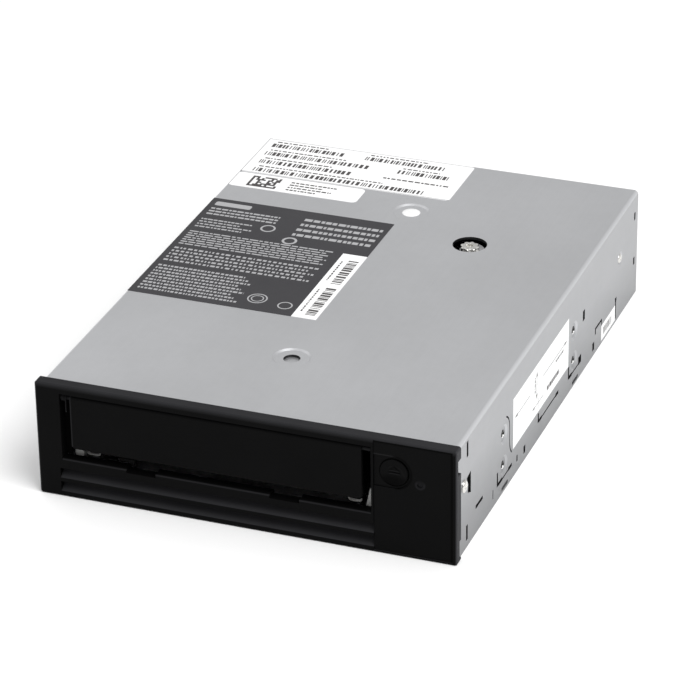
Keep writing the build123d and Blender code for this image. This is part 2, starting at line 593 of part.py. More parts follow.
with BuildPart() as eject_switch:
    with BuildSketch(upright(chassis_y(FRONT_BOARD_DEPTH))) as switch_outline:
        with Locations((BUTTON_X, BUTTON_Z)):
            Rectangle(SWITCH_SIZE, SWITCH_SIZE)
    extrude(amount=SWITCH_BODY)
    with BuildSketch(upright(chassis_y(FRONT_BOARD_DEPTH - SWITCH_BODY))):
        with Locations((BUTTON_X, BUTTON_Z)):
            Circle(PLUNGER_RADIUS)
    extrude(amount=PLUNGER_LENGTH)
eject_switch.part.label = "eject_switch"
export_step(eject_switch.part, "parts/eject_switch.step")

LIGHT_BORE = 1.05
LIGHT_BORE_DEPTH = 0.4
LIGHT_STEM_RADIUS = 1.2
with BuildPart() as light_guide:
    with BuildSketch(upright(PANEL_BACK_Y)):
        with Locations((LIGHT_X, LIGHT_Z)):
            Circle(LIGHT_RADIUS)
    extrude(amount=PANEL_THICKNESS)
    with BuildSketch(upright(PANEL_BACK_Y)):
        with Locations((LIGHT_X, LIGHT_Z)):
            Circle(LIGHT_STEM_RADIUS)
    extrude(amount=-(chassis_y(FRONT_BOARD_DEPTH) - LAMP_LENGTH - PANEL_BACK_Y))
    with BuildSketch(upright(PANEL_FACE_Y + LIGHT_BORE_DEPTH)):
        with Locations((LIGHT_X, LIGHT_Z)):
            Circle(LIGHT_BORE)
    extrude(amount=LIGHT_BORE_DEPTH + OVERRUN, mode=Mode.SUBTRACT)
light_guide.part.label = "light_guide"
export_step(light_guide.part, "parts/light_guide.step")

# Places of the mechanism on the deck
HUB_Y = chassis_y(57.0)  # cartridge hub when the cartridge is in
REEL_X = -20.0
REEL_INSET = 48.0  # from the chassis's rear end
REEL_Y = CHASSIS_REAR_Y - REEL_INSET
MOTOR_WELL_RADIUS = 17.0
HEAD_Y = chassis_y(133.5)
HEAD_SCREW_X = 31.0
HEAD_SCREW_Y = chassis_y(132.0)
HEAD_MOTOR_RADIUS = 6.2
RAIL_INNER = RAIL_FACE - RAIL_THICKNESS
RAIL_FRONT_DEPTH = 14.0
DECK_FRONT_DEPTH = 7.0
DECK_REAR_GAP = 7.0
DECK_REAR_DEPTH = CHASSIS_DEPTH - DECK_REAR_GAP
FAN_NOTCH_DEPTH = CHASSIS_DEPTH - SHEET - FAN_DEPTH - OVERRUN
FAN_NOTCH_X = FAN_X - FAN_SIZE / 2 - OVERRUN
CONNECTOR_LENGTH = 13.0
CONNECTOR_FRONT_Y = CHASSIS_REAR_Y - AIR_GAP - CONNECTOR_LENGTH
BOSS_RADIUS = 3.2
# Board bosses, as shares of the chassis's half width and of its depth
BOSS_SHARES = (
    (-0.794, 0.107),
    (0.493, 0.107),
    (-0.794, 0.507),
    (0.822, 0.546),
    (-0.822, 0.878),
    (0.822, 0.839),
)
BOSSES = [(x * HALF_WIDTH, chassis_y(y * CHASSIS_DEPTH)) for x, y in BOSS_SHARES]
with BuildPart() as deck:
    with BuildSketch(level(DECK_BOTTOM)):
        rect(-RAIL_FACE, RAIL_FACE, chassis_y(DECK_FRONT_DEPTH), chassis_y(DECK_REAR_DEPTH))
        with Locations((CARTRIDGE_X, HUB_Y), (REEL_X, REEL_Y)):
            Circle(MOTOR_WELL_RADIUS, mode=Mode.SUBTRACT)
        with Locations((HEAD_SCREW_X, HEAD_SCREW_Y)):
            Circle(HEAD_MOTOR_RADIUS + AIR_GAP, mode=Mode.SUBTRACT)
        rect(FAN_NOTCH_X, RAIL_INNER, chassis_y(FAN_NOTCH_DEPTH), CHASSIS_REAR_Y, mode=Mode.SUBTRACT)
        rect(
            CONNECTOR_X - CONNECTOR_WIDTH / 2 - AIR_GAP,
            CONNECTOR_X + CONNECTOR_WIDTH / 2 + AIR_GAP,
            CONNECTOR_FRONT_Y - AIR_GAP,
            CHASSIS_REAR_Y,
            mode=Mode.SUBTRACT,
        )
    extrude(amount=DECK_THICKNESS)
    with BuildSketch(level(DECK_BOTTOM)):
        rect_pair(RAIL_INNER, RAIL_FACE, chassis_y(RAIL_FRONT_DEPTH), chassis_y(DECK_REAR_DEPTH))
    extrude(amount=RAIL_TOP - DECK_BOTTOM)
    with BuildSketch(level(BOARD_TOP)):
        with Locations(BOSSES):
            Circle(BOSS_RADIUS)
    extrude(amount=DECK_BOTTOM - BOARD_TOP)
    with BuildSketch(level(BOARD_TOP)):
        with Locations(BOSSES):
            Circle(CASE_SCREW_RADIUS)
    extrude(amount=DECK_THICKNESS, mode=Mode.SUBTRACT)
    for side in (1, -1):
        with BuildSketch(profile(side * RAIL_FACE)) as rail_holes:
            with Locations([(chassis_y(d), z) for d in MOUNT_DEPTHS for z in MOUNT_LEVELS]):
                Circle(MOUNT_HOLE_RADIUS)
            with Locations((chassis_y(REAR_SCREW[0]), REAR_SCREW[1])):
                Circle(CASE_SCREW_RADIUS)
        extrude(amount=-side * RAIL_THICKNESS, mode=Mode.SUBTRACT)
deck.part.label = "deck"
export_step(deck.part, "parts/deck.step")

# Casing screws: two in front through the bezel's lugs, two behind into the deck's rails
with BuildPart() as case_screws:
    for side in (1, -1):
        for place, face, head_radius in (
            (FRONT_SCREW, HALF_WIDTH, FRONT_HEAD_RADIUS),
            (REAR_SCREW, HALF_WIDTH - DIMPLE_DEPTH, REAR_HEAD_RADIUS),
        ):
            spot = (chassis_y(place[0]), place[1])
            with BuildSketch(profile(side * face)):
                with Locations(spot):
                    Circle(head_radius)
            extrude(amount=side * CASE_HEAD_HEIGHT)
            outer_face = case_screws.faces(Select.LAST).sort_by(Axis.X)[0 if side < 0 else -1]
            fillet(outer_face.edges(), CASE_HEAD_ROUND)
            with BuildSketch(profile(side * face)):
                with Locations(spot):
                    Circle(CASE_SCREW_RADIUS)
            extrude(amount=-side * CASE_SCREW_LENGTH)
case_screws.part.label = "case_screws"
export_step(case_screws.part, "parts/case_screws.step")

# Post between the deck and the top cover, with its crescent shoulder and lobed screw
POST_RADIUS = 3.6
POST_SINK = 1.9  # from the casing's top down to the post's
POST_TOP = CHASSIS_HEIGHT - POST_SINK
POST_SHOULDER_RADIUS = 5.2
POST_SHOULDER = 0.8
POST_SCREW_RADIUS = 2.9
STAR_COUNT = 8
STAR_RING = 2.6
STAR_RADIUS = 0.85
POST_SCREW_HEIGHT = 1.5
POST_SCREW_SHANK = 1.5
POST_SCREW_DEPTH = 8.0
LOBE_COUNT = 6
LOBE_RADIUS = 0.55
LOBE_RING = 1.75
LOBE_DEPTH = 1.0
POST_Y = chassis_y(POST_DEPTH)
with BuildPart() as cover_post:
    with BuildSketch(level(DECK_TOP)):
        with Locations((POST_X, POST_Y)):
            Circle(POST_RADIUS)
    extrude(amount=POST_TOP - DECK_TOP)
    with BuildSketch(level(POST_TOP - POST_SHOULDER)):
        with Locations((POST_X, POST_Y)):
            Circle(POST_SHOULDER_RADIUS)
        rect(
            POST_X - POST_SHOULDER_RADIUS - OVERRUN,
            POST_X - POST_RADIUS / 2,
            POST_Y - POST_SHOULDER_RADIUS - OVERRUN,
            POST_Y + POST_SHOULDER_RADIUS + OVERRUN,
            mode=Mode.SUBTRACT,
        )
    extrude(amount=POST_SHOULDER)
    with BuildSketch(level(POST_TOP - POST_SCREW_DEPTH)):
        with Locations((POST_X, POST_Y)):
            Circle(POST_SCREW_SHANK)
    extrude(amount=POST_SCREW_DEPTH, mode=Mode.SUBTRACT)
cover_post.part.label = "cover_post"
export_step(cover_post.part, "parts/cover_post.step")

with BuildPart() as post_screw:
    with BuildSketch(level(POST_TOP - POST_SCREW_DEPTH)):
        with Locations((POST_X, POST_Y)):
            Circle(POST_SCREW_SHANK)
    extrude(amount=POST_SCREW_DEPTH)
    with BuildSketch(level(POST_TOP)):
        with Locations((POST_X, POST_Y)):
            Circle(POST_SCREW_RADIUS)
            with PolarLocations(STAR_RING, STAR_COUNT):
                Circle(STAR_RADIUS)
    extrude(amount=POST_SCREW_HEIGHT)
    with BuildSketch(level(POST_TOP + POST_SCREW_HEIGHT - LOBE_DEPTH)):
        with Locations((POST_X, POST_Y)):
            Circle(LOBE_RING)
            with PolarLocations(LOBE_RING, LOBE_COUNT):
                Circle(LOBE_RADIUS)
    extrude(amount=LOBE_DEPTH + OVERRUN, mode=Mode.SUBTRACT)
post_screw.part.label = "post_screw"
export_step(post_screw.part, "parts/post_screw.step")

# Main board under the deck, its chips, its screws and the host connector
BOARD_MARGIN = 6.0
BOARD_FRONT_DEPTH = 10.0
BOARD_HALF = INNER_WALL - BOARD_MARGIN
with BuildPart() as main_board:
    with BuildSketch(level(BOARD_BOTTOM)) as board_outline:
        rect(-BOARD_HALF, BOARD_HALF, chassis_y(BOARD_FRONT_DEPTH), REAR_PLANE_Y - AIR_GAP)
        rect(FAN_NOTCH_X, BOARD_HALF, chassis_y(FAN_NOTCH_DEPTH), REAR_PLANE_Y, mode=Mode.SUBTRACT)
        with Locations(BOSSES):
            Circle(CASE_SCREW_RADIUS + SLIDE_GAP, mode=Mode.SUBTRACT)
    extrude(amount=BOARD_THICKNESS)
main_board.part.label = "main_board"
export_step(main_board.part, "parts/main_board.step")

CHIP_HEIGHT = 1.2
CHIP_CHAMFER = 0.3
CHIPS = (  # X, depth, width, length
    (51.0, 37.0, 20.0, 20.0),
    (46.0, 62.0, 14.0, 14.0),
    (40.0, 92.0, 12.0, 18.0),
    (-52.0, 52.0, 14.0, 20.0),
    (-40.0, 118.0, 18.0, 12.0),
    (22.0, 160.0, 14.0, 20.0),
)
with BuildPart() as board_chips:
    for chip_x, chip_depth, chip_width, chip_length in CHIPS:
        with BuildSketch(level(BOARD_TOP)) as chip_outline:
            with Locations((chip_x, chassis_y(chip_depth))):
                Rectangle(chip_width, chip_length)
            chamfer(chip_outline.vertices(), CHIP_CHAMFER)
        extrude(amount=CHIP_HEIGHT)
board_chips.part.label = "board_chips"
export_step(board_chips.part, "parts/board_chips.step")

BOARD_HEAD_RADIUS = 2.4
BOARD_HEAD_HEIGHT = 1.5
BOARD_SCREW_LENGTH = 3.2
with BuildPart() as board_screws:
    with BuildSketch(level(BOARD_BOTTOM - BOARD_HEAD_HEIGHT)):
        with Locations(BOSSES):
            Circle(BOARD_HEAD_RADIUS)
    extrude(amount=BOARD_HEAD_HEIGHT)
    with BuildSketch(level(BOARD_BOTTOM)):
        with Locations(BOSSES):
            Circle(CASE_SCREW_RADIUS)
    extrude(amount=BOARD_SCREW_LENGTH)
board_screws.part.label = "board_screws"
export_step(board_screws.part, "parts/board_screws.step")

CONNECTOR_WALL = 0.9
CONNECTOR_CAVITY = 7.0
TONGUE_THICKNESS = 1.3
TONGUE_SIDE_GAP = 2.0
KEY_WIDTH = 2.4
SOCKET_WIDTH = CONNECTOR_WIDTH - 2 * CONNECTOR_WALL
SOCKET_HEIGHT = CONNECTOR_HEIGHT - 2 * CONNECTOR_WALL
with BuildPart() as data_connector:
    with BuildSketch(upright(CONNECTOR_FRONT_Y)):
        with Locations((CONNECTOR_X, BOARD_TOP + CONNECTOR_HEIGHT / 2)):
            Rectangle(CONNECTOR_WIDTH, CONNECTOR_HEIGHT)
    extrude(amount=-CONNECTOR_LENGTH)
    with BuildSketch(upright(CONNECTOR_FRONT_Y + CONNECTOR_LENGTH - CONNECTOR_CAVITY)):
        with Locations((CONNECTOR_X, BOARD_TOP + CONNECTOR_HEIGHT / 2)):
            Rectangle(SOCKET_WIDTH, SOCKET_HEIGHT)
            Rectangle(SOCKET_WIDTH - 2 * TONGUE_SIDE_GAP, TONGUE_THICKNESS, mode=Mode.SUBTRACT)
    extrude(amount=-CONNECTOR_CAVITY - OVERRUN, mode=Mode.SUBTRACT)
    with BuildSketch(upright(CONNECTOR_FRONT_Y + CONNECTOR_LENGTH - CONNECTOR_CAVITY)):
        with Locations((CONNECTOR_X, BOARD_TOP + CONNECTOR_HEIGHT / 2)):
            Rectangle(KEY_WIDTH, CONNECTOR_HEIGHT)
    extrude(amount=-CONNECTOR_CAVITY)
data_connector.part.label = "data_connector"
export_step(data_connector.part, "parts/data_connector.step")

# Fan: square frame with its struts, and the rotor that turns on them
FAN_HUB_RADIUS = 8.6
FAN_BLADE_RADIUS = 16.8
FAN_BLADES = 7
FAN_BLADE_THICKNESS = 0.9
FAN_BLADE_CHORD = 11.0
FAN_BLADE_PITCH = 40.0  # degrees
FAN_BACK = 3.0  # depth of the struts at the rear
FAN_STRUT_WIDTH = 2.4
FAN_SCREW_INSET = 3.2
FAN_SCREW_RADIUS = 1.7
FAN_AXLE_RADIUS = 1.0
FAN_FRONT_Y = REAR_PLANE_Y - FAN_DEPTH
FAN_CORNER = FAN_SIZE / 2 - FAN_SCREW_INSET
with BuildPart() as fan_frame:
    with BuildSketch(upright(FAN_FRONT_Y)):
        with Locations((FAN_X, FAN_Z)):
            RectangleRounded(FAN_SIZE, FAN_SIZE, FAN_SCREW_INSET)
            Circle(FAN_BORE, mode=Mode.SUBTRACT)
            with GridLocations(2 * FAN_CORNER, 2 * FAN_CORNER, 2, 2):
                Circle(FAN_SCREW_RADIUS, mode=Mode.SUBTRACT)
    extrude(amount=-FAN_DEPTH)
    with BuildSketch(upright(REAR_PLANE_Y - FAN_BACK)):
        with Locations((FAN_X, FAN_Z)):
            Circle(FAN_HUB_RADIUS)
            Rectangle(2 * FAN_BORE, FAN_STRUT_WIDTH)
            Rectangle(FAN_STRUT_WIDTH, 2 * FAN_BORE)
    extrude(amount=-FAN_BACK)
    with BuildSketch(upright(REAR_PLANE_Y - FAN_BACK)):
        with Locations((FAN_X, FAN_Z)):
            Circle(FAN_AXLE_RADIUS)
    extrude(amount=FAN_DEPTH / 2)
fan_frame.part.label = "fan_frame"
export_step(fan_frame.part, "parts/fan_frame.step")

FAN_ROTOR_INSET = 1.0
FAN_ROTOR_FRONT_Y = FAN_FRONT_Y + FAN_ROTOR_INSET
FAN_ROTOR_LENGTH = FAN_DEPTH - FAN_BACK - FAN_ROTOR_INSET - AIR_GAP
FAN_ROTOR_MIDDLE = Vector(FAN_X, FAN_ROTOR_FRONT_Y + FAN_ROTOR_LENGTH / 2, FAN_Z)
with BuildPart() as fan_rotor:
    with BuildSketch(upright(FAN_ROTOR_FRONT_Y)):
        with Locations((FAN_X, FAN_Z)):
            Circle(FAN_HUB_RADIUS)
    extrude(amount=-FAN_ROTOR_LENGTH)
    for blade in range(FAN_BLADES):
        blade_angle = radians(360 / FAN_BLADES * blade)
        outward = Vector(cos(blade_angle), 0, sin(blade_angle))
        blade_plane = Plane(
            origin=FAN_ROTOR_MIDDLE + outward * (FAN_HUB_RADIUS / 2),
            x_dir=(0, 1, 0),
            z_dir=outward,
        )
        with BuildSketch(blade_plane):
            Rectangle(FAN_BLADE_CHORD, FAN_BLADE_THICKNESS, rotation=FAN_BLADE_PITCH)
        extrude(amount=FAN_BLADE_RADIUS - FAN_HUB_RADIUS / 2 - FAN_BLADE_THICKNESS)
    with BuildSketch(upright(REAR_PLANE_Y)):
        with Locations((FAN_X, FAN_Z)):
            Circle(FAN_AXLE_RADIUS + BORE_GAP)
    extrude(amount=FAN_BACK + FAN_DEPTH / 2 + AIR_GAP, mode=Mode.SUBTRACT)
fan_rotor.part.label = "fan_rotor"
export_step(fan_rotor.part, "parts/fan_rotor.step")

# Cartridge tray: folded sheet that the cartridge slides into, lowered by four pins
TRAY_SIDE_GAP = 0.75
TRAY_HEAD_GAP = 1.6
TRAY_STOP_GAP = 0.8
TRAY_FRONT_DEPTH = 4.0
TRAY_REAR_DEPTH = CARTRIDGE_FRONT + CARTRIDGE_DEPTH + TRAY_STOP_GAP + THIN_SHEET
TRAY_LIP = 7.0
TRAY_LIP_FRONT_DEPTH = 22.0
TRAY_HUB_HOLE = 21.0
TRAY_FLOOR_TOP = CARTRIDGE_LEVEL - 2 * SLIDE_GAP
TRAY_FLOOR = TRAY_FLOOR_TOP - THIN_SHEET
TRAY_INNER = CARTRIDGE_WIDTH / 2 + TRAY_SIDE_GAP
TRAY_OUTER = TRAY_INNER + THIN_SHEET
TRAY_CEILING = CARTRIDGE_LEVEL + CARTRIDGE_HEIGHT + TRAY_HEAD_GAP
TRAY_TOP = TRAY_CEILING + THIN_SHEET
TRAY_TAB_WIDTH = 5.0
TRAY_TAB_INSET = 3.0
PIN_RADIUS = 1.3
PIN_LEVEL = 26.0
PIN_DEPTHS = (24.0, 74.0)
PIN_OVERHANG = 0.4
GUIDE_RUN = 0.64  # gap between the tray and a guide plate
CAM_RUN = 0.48  # gap between a guide plate and its cam plate
CAM_THICKNESS = 1.2
GUIDE_NEAR = TRAY_OUTER + GUIDE_RUN
GUIDE_FAR = GUIDE_NEAR + SHEET
CAM_NEAR = GUIDE_FAR + CAM_RUN
CAM_FAR = CAM_NEAR + CAM_THICKNESS
TAPE_GATE_DEPTH = 90.0  # the right wall is open behind this, where the tape leaves
TAPE_GATE_END = TRAY_REAR_DEPTH - TRAY_TAB_WIDTH


def across(near, far, low, high, mode=Mode.ADD):
    """Two rectangles mirrored about the cartridge's centre line."""
    rect(CARTRIDGE_X + near, CARTRIDGE_X + far, low, high, mode)
    rect(CARTRIDGE_X - far, CARTRIDGE_X - near, low, high, mode)


with BuildPart() as cartridge_tray:
    with BuildSketch(upright(chassis_y(TRAY_FRONT_DEPTH))):
        across(0, TRAY_OUTER, TRAY_FLOOR, TRAY_FLOOR_TOP)
        across(TRAY_INNER, TRAY_OUTER, TRAY_FLOOR, TRAY_TOP)
        across(TRAY_OUTER - TRAY_LIP, TRAY_OUTER, TRAY_CEILING, TRAY_TOP)
    extrude(amount=-(TRAY_REAR_DEPTH - TRAY_FRONT_DEPTH))
    with BuildSketch(upright(chassis_y(TRAY_REAR_DEPTH))):
        across(0, TRAY_OUTER, TRAY_FLOOR, TRAY_TOP)
    extrude(amount=THIN_SHEET)
    with BuildSketch(level(CARTRIDGE_LEVEL + CARTRIDGE_HEIGHT)):
        rect(
            CARTRIDGE_X - TRAY_OUTER - OVERRUN,
            CARTRIDGE_X + TRAY_OUTER + OVERRUN,
            chassis_y(TRAY_FRONT_DEPTH) - OVERRUN,
            chassis_y(TRAY_LIP_FRONT_DEPTH),
        )
    extrude(amount=TRAY_TOP, mode=Mode.SUBTRACT)
    with BuildSketch(level(TRAY_FLOOR - OVERRUN)):
        with Locations((CARTRIDGE_X, HUB_Y)):
            Circle(TRAY_HUB_HOLE)
        tab_front_y = chassis_y(TRAY_FRONT_DEPTH)
        tab_outer = TRAY_INNER - TRAY_TAB_INSET
        across(0, tab_outer - TRAY_TAB_WIDTH, tab_front_y - OVERRUN, tab_front_y + TRAY_TAB_WIDTH)
        across(tab_outer, TRAY_INNER, tab_front_y - OVERRUN, tab_front_y + TRAY_TAB_WIDTH)
    extrude(amount=THIN_SHEET + 2 * OVERRUN, mode=Mode.SUBTRACT)
    with BuildSketch(profile(CARTRIDGE_X + TRAY_INNER - OVERRUN)):
        rect(chassis_y(TAPE_GATE_DEPTH), chassis_y(TAPE_GATE_END), CARTRIDGE_LEVEL, TRAY_CEILING)
    extrude(amount=THIN_SHEET + 2 * OVERRUN, mode=Mode.SUBTRACT)
cartridge_tray.part.label = "cartridge_tray"
export_step(cartridge_tray.part, "parts/cartridge_tray.step")

with BuildPart() as tray_pins:
    for side in (1, -1):
        with BuildSketch(profile(CARTRIDGE_X + side * TRAY_OUTER)):
            with Locations([(chassis_y(depth), PIN_LEVEL) for depth in PIN_DEPTHS]):
                Circle(PIN_RADIUS)
        extrude(amount=side * (CAM_FAR + PIN_OVERHANG - TRAY_OUTER))
tray_pins.part.label = "tray_pins"
export_step(tray_pins.part, "parts/tray_pins.step")

# Guide plates: fixed to the deck, their upright slots let the pins only rise and fall
GUIDE_FRONT_DEPTH = 12.0
GUIDE_REAR_DEPTH = 84.0
GUIDE_TOP = 36.0
PIN_SLOT = 2 * (PIN_RADIUS + SLIDE_GAP)
GEAR_DEPTH = 50.0
GEAR_LEVEL = 19.5
GEAR_SHAFT_RADIUS = 1.0


def guide_sketch():
    """Outline of a guide plate, with a slot for each pin."""
    rect(chassis_y(GUIDE_FRONT_DEPTH), chassis_y(GUIDE_REAR_DEPTH), DECK_TOP, GUIDE_TOP)
    for depth in PIN_DEPTHS:
        with Locations((chassis_y(depth), PIN_LEVEL - LOAD_DROP / 2)):
            SlotCenterToCenter(LOAD_DROP, PIN_SLOT, rotation=90, mode=Mode.SUBTRACT)


with BuildPart() as left_guide:
    with BuildSketch(profile(CARTRIDGE_X - GUIDE_FAR)):
        guide_sketch()
    extrude(amount=SHEET)
left_guide.part.label = "left_guide"
export_step(left_guide.part, "parts/left_guide.step")

with BuildPart() as right_guide:
    with BuildSketch(profile(CARTRIDGE_X + GUIDE_NEAR)):
        guide_sketch()
        with Locations((chassis_y(GEAR_DEPTH), GEAR_LEVEL)):
            Circle(GEAR_SHAFT_RADIUS + BORE_GAP, mode=Mode.SUBTRACT)
    extrude(amount=SHEET)
right_guide.part.label = "right_guide"
export_step(right_guide.part, "parts/right_guide.step")

# Cam plates: as they slide back, their slanted slots carry the pins down
CAM_FRONT_DEPTH = 6.0
CAM_REAR_DEPTH = 80.0
CAM_LOW = 18.0
CAM_HIGH = 32.0
CAM_ARM_LOW = 32.8
CAM_ARM_HIGH = 36.0
CAM_ARM_DEPTH = 112.4
CAM_ARM_ROOT = 20.0
CROSSBAR_THICKNESS = 1.6
RACK_MODULE = 0.8
RACK_PINION_TEETH = 12
RACK_PINION_RADIUS = RACK_MODULE * RACK_PINION_TEETH / 2
RACK_LINE = GEAR_LEVEL + RACK_PINION_RADIUS
RACK_TEETH = 9
RACK_RELIEF = 2.0
TOOTH_BACKLASH = 0.12
ROOT_SHARE = 1.25  # root depth over the module
ADDENDUM_SHARE = 0.9  # tooth height over the module
PRESSURE_ANGLE = radians(20)
CAM_SLOPE = degrees(atan2(LOAD_DROP, CAM_TRAVEL))
CAM_SLOT_LENGTH = hypot(LOAD_DROP, CAM_TRAVEL)
RACK_PITCH = pi * RACK_MODULE
RACK_ADDENDUM = RACK_MODULE * ADDENDUM_SHARE
RACK_ROOT = RACK_LINE + RACK_MODULE * ROOT_SHARE
RACK_FIRST_Y = chassis_y(GEAR_DEPTH) - (RACK_TEETH - 1.5) * RACK_PITCH


def cam_sketch():
    """Outline of a cam plate: slanted pin slots and the arm that reaches the crossbar."""
    rect(chassis_y(CAM_FRONT_DEPTH), chassis_y(CAM_REAR_DEPTH), CAM_LOW, CAM_HIGH)
    rect(chassis_y(CAM_REAR_DEPTH - CAM_ARM_ROOT), chassis_y(CAM_ARM_DEPTH), CAM_ARM_LOW, CAM_ARM_HIGH)
    rect(chassis_y(CAM_REAR_DEPTH - CAM_ARM_ROOT), chassis_y(CAM_REAR_DEPTH), CAM_HIGH, CAM_ARM_LOW)
    for depth in PIN_DEPTHS:
        with Locations((chassis_y(depth) - CAM_TRAVEL / 2, PIN_LEVEL - LOAD_DROP / 2)):
            SlotCenterToCenter(CAM_SLOT_LENGTH, PIN_SLOT, rotation=CAM_SLOPE, mode=Mode.SUBTRACT)


with BuildPart() as left_cam:
    with BuildSketch(profile(CARTRIDGE_X - CAM_FAR)):
        cam_sketch()
    extrude(amount=CAM_FAR - CAM_NEAR)
left_cam.part.label = "left_cam"
export_step(left_cam.part, "parts/left_cam.step")

with BuildPart() as right_cam:
    with BuildSketch(profile(CARTRIDGE_X + CAM_NEAR)):
        cam_sketch()
        rack_front_y = RACK_FIRST_Y - RACK_RELIEF
        rack_rear_y = RACK_FIRST_Y + (RACK_TEETH - 1) * RACK_PITCH + RACK_PINION_RADIUS + RACK_RELIEF
        rect(rack_front_y, rack_rear_y, CAM_LOW, RACK_ROOT, mode=Mode.SUBTRACT)
        half_tooth = RACK_PITCH / 4 - TOOTH_BACKLASH / 2
        tip_shrink = RACK_ADDENDUM * tan(PRESSURE_ANGLE)
        root_spread = (RACK_ROOT - RACK_LINE) * tan(PRESSURE_ANGLE)
        for tooth in range(RACK_TEETH):
            tooth_y = RACK_FIRST_Y + tooth * RACK_PITCH
            with BuildLine():
                Polyline(
                    (tooth_y - half_tooth - root_spread, RACK_ROOT),
                    (tooth_y - half_tooth + tip_shrink, RACK_LINE - RACK_ADDENDUM),
                    (tooth_y + half_tooth - tip_shrink, RACK_LINE - RACK_ADDENDUM),
                    (tooth_y + half_tooth + root_spread, RACK_ROOT),
                    close=True,
                )
            make_face()
    extrude(amount=CAM_FAR - CAM_NEAR)
right_cam.part.label = "right_cam"
export_step(right_cam.part, "parts/right_cam.step")

with BuildPart() as cam_crossbar:
    with BuildSketch(level(CAM_ARM_LOW)):
        bar_y = chassis_y(CAM_ARM_DEPTH)
        rect(CARTRIDGE_X - CAM_FAR, CARTRIDGE_X + CAM_FAR, bar_y, bar_y + CROSSBAR_THICKNESS)
    extrude(amount=CAM_ARM_HIGH - CAM_ARM_LOW)
cam_crossbar.part.label = "cam_crossbar"
export_step(cam_crossbar.part, "parts/cam_crossbar.step")


def involute(angle):
    """Involute function of a pressure angle."""
    return tan(angle) - angle


def gear_outline(centre, teeth, module, first_angle):
    """Outline of a spur gear: each flank runs from the root over the pitch circle to the tip."""
    pitch_radius = teeth * module / 2
    base_radius = pitch_radius * cos(PRESSURE_ANGLE)
    root_radius = pitch_radius - module * ROOT_SHARE
    tip_radius = pitch_radius + module * ADDENDUM_SHARE
    half_pitch_tooth = (pi * module / 2 - TOOTH_BACKLASH) / (2 * pitch_radius)
    flank = []
    for radius in (root_radius, pitch_radius, (pitch_radius + tip_radius) / 2, tip_radius):
        roll = acos(min(1, base_radius / radius))
        flank.append((radius, half_pitch_tooth + involute(PRESSURE_ANGLE) - involute(roll)))
    points = []
    for tooth in range(teeth):
        middle = first_angle + 2 * pi * tooth / teeth
        rising = [(radius, middle - half) for radius, half in flank]
        falling = [(radius, middle + half) for radius, half in reversed(flank)]
        for radius, angle in rising + falling:
            points.append((centre[0] + radius * cos(angle), centre[1] + radius * sin(angle)))
    return points


# Loader gears: the motor's pinion turns the large gear, whose shaft turns the rack pinion
LOADER_MODULE = 0.6
LOADER_GEAR_TEETH = 30
MOTOR_PINION_TEETH = 10
MESH_GAP = 0.06
MOTOR_LEAN = radians(40)  # direction from the gear to the motor
LOADER_GEAR_WIDTH = 2.4
MOTOR_PINION_WIDTH = 3.2
BRACKET_GAP = 0.8
BRACKET_THICKNESS = 1.2
LOADER_MOTOR_RADIUS = 6.0
LOADER_MOTOR_LENGTH = 14.0
LOADER_MOTOR_BOSS = 2.5
MOTOR_SHAFT_RADIUS = 0.75
LOADER_REACH = LOADER_MODULE * (LOADER_GEAR_TEETH + MOTOR_PINION_TEETH) / 2 + MESH_GAP
GEAR_Y = chassis_y(GEAR_DEPTH)
MOTOR_Y = GEAR_Y + LOADER_REACH * cos(MOTOR_LEAN)
MOTOR_LEVEL = GEAR_LEVEL + LOADER_REACH * sin(MOTOR_LEAN)
RIGHT_CAM_OUTER_X = CARTRIDGE_X + CAM_FAR
LOADER_GEAR_X = RIGHT_CAM_OUTER_X + SHEET
BRACKET_X = LOADER_GEAR_X + LOADER_GEAR_WIDTH + BRACKET_GAP
GEAR_SHAFT_START_X = CARTRIDGE_X + GUIDE_NEAR
RACK_PINION_X = CARTRIDGE_X + CAM_NEAR - SLIDE_GAP

GEAR_CENTRE = (GEAR_Y, GEAR_LEVEL)
MOTOR_CENTRE = (MOTOR_Y, MOTOR_LEVEL)

with BuildPart() as rack_pinion:
    with BuildSketch(profile(RACK_PINION_X)):
        with BuildLine():
            Polyline(gear_outline(GEAR_CENTRE, RACK_PINION_TEETH, RACK_MODULE, pi / 2), close=True)
        make_face()
        with Locations(GEAR_CENTRE):
            Circle(GEAR_SHAFT_RADIUS, mode=Mode.SUBTRACT)
    extrude(amount=CAM_FAR - CAM_NEAR + 2 * SLIDE_GAP)
rack_pinion.part.label = "rack_pinion"
export_step(rack_pinion.part, "parts/rack_pinion.step")

GEAR_WEB_THICKNESS = 1.2
GEAR_RIM_RADIUS = 7.2
GEAR_HUB_RADIUS = 2.6
with BuildPart() as loader_gear:
    with BuildSketch(profile(LOADER_GEAR_X)):
        with BuildLine():
            Polyline(gear_outline(GEAR_CENTRE, LOADER_GEAR_TEETH, LOADER_MODULE, MOTOR_LEAN), close=True)
        make_face()
        with Locations(GEAR_CENTRE):
            Circle(GEAR_SHAFT_RADIUS, mode=Mode.SUBTRACT)
    extrude(amount=LOADER_GEAR_WIDTH)
    with BuildSketch(profile(LOADER_GEAR_X + GEAR_WEB_THICKNESS)):
        with Locations(GEAR_CENTRE):
            Circle(GEAR_RIM_RADIUS)
            Circle(GEAR_HUB_RADIUS, mode=Mode.SUBTRACT)
    extrude(amount=LOADER_GEAR_WIDTH, mode=Mode.SUBTRACT)
loader_gear.part.label = "loader_gear"
export_step(loader_gear.part, "parts/loader_gear.step")

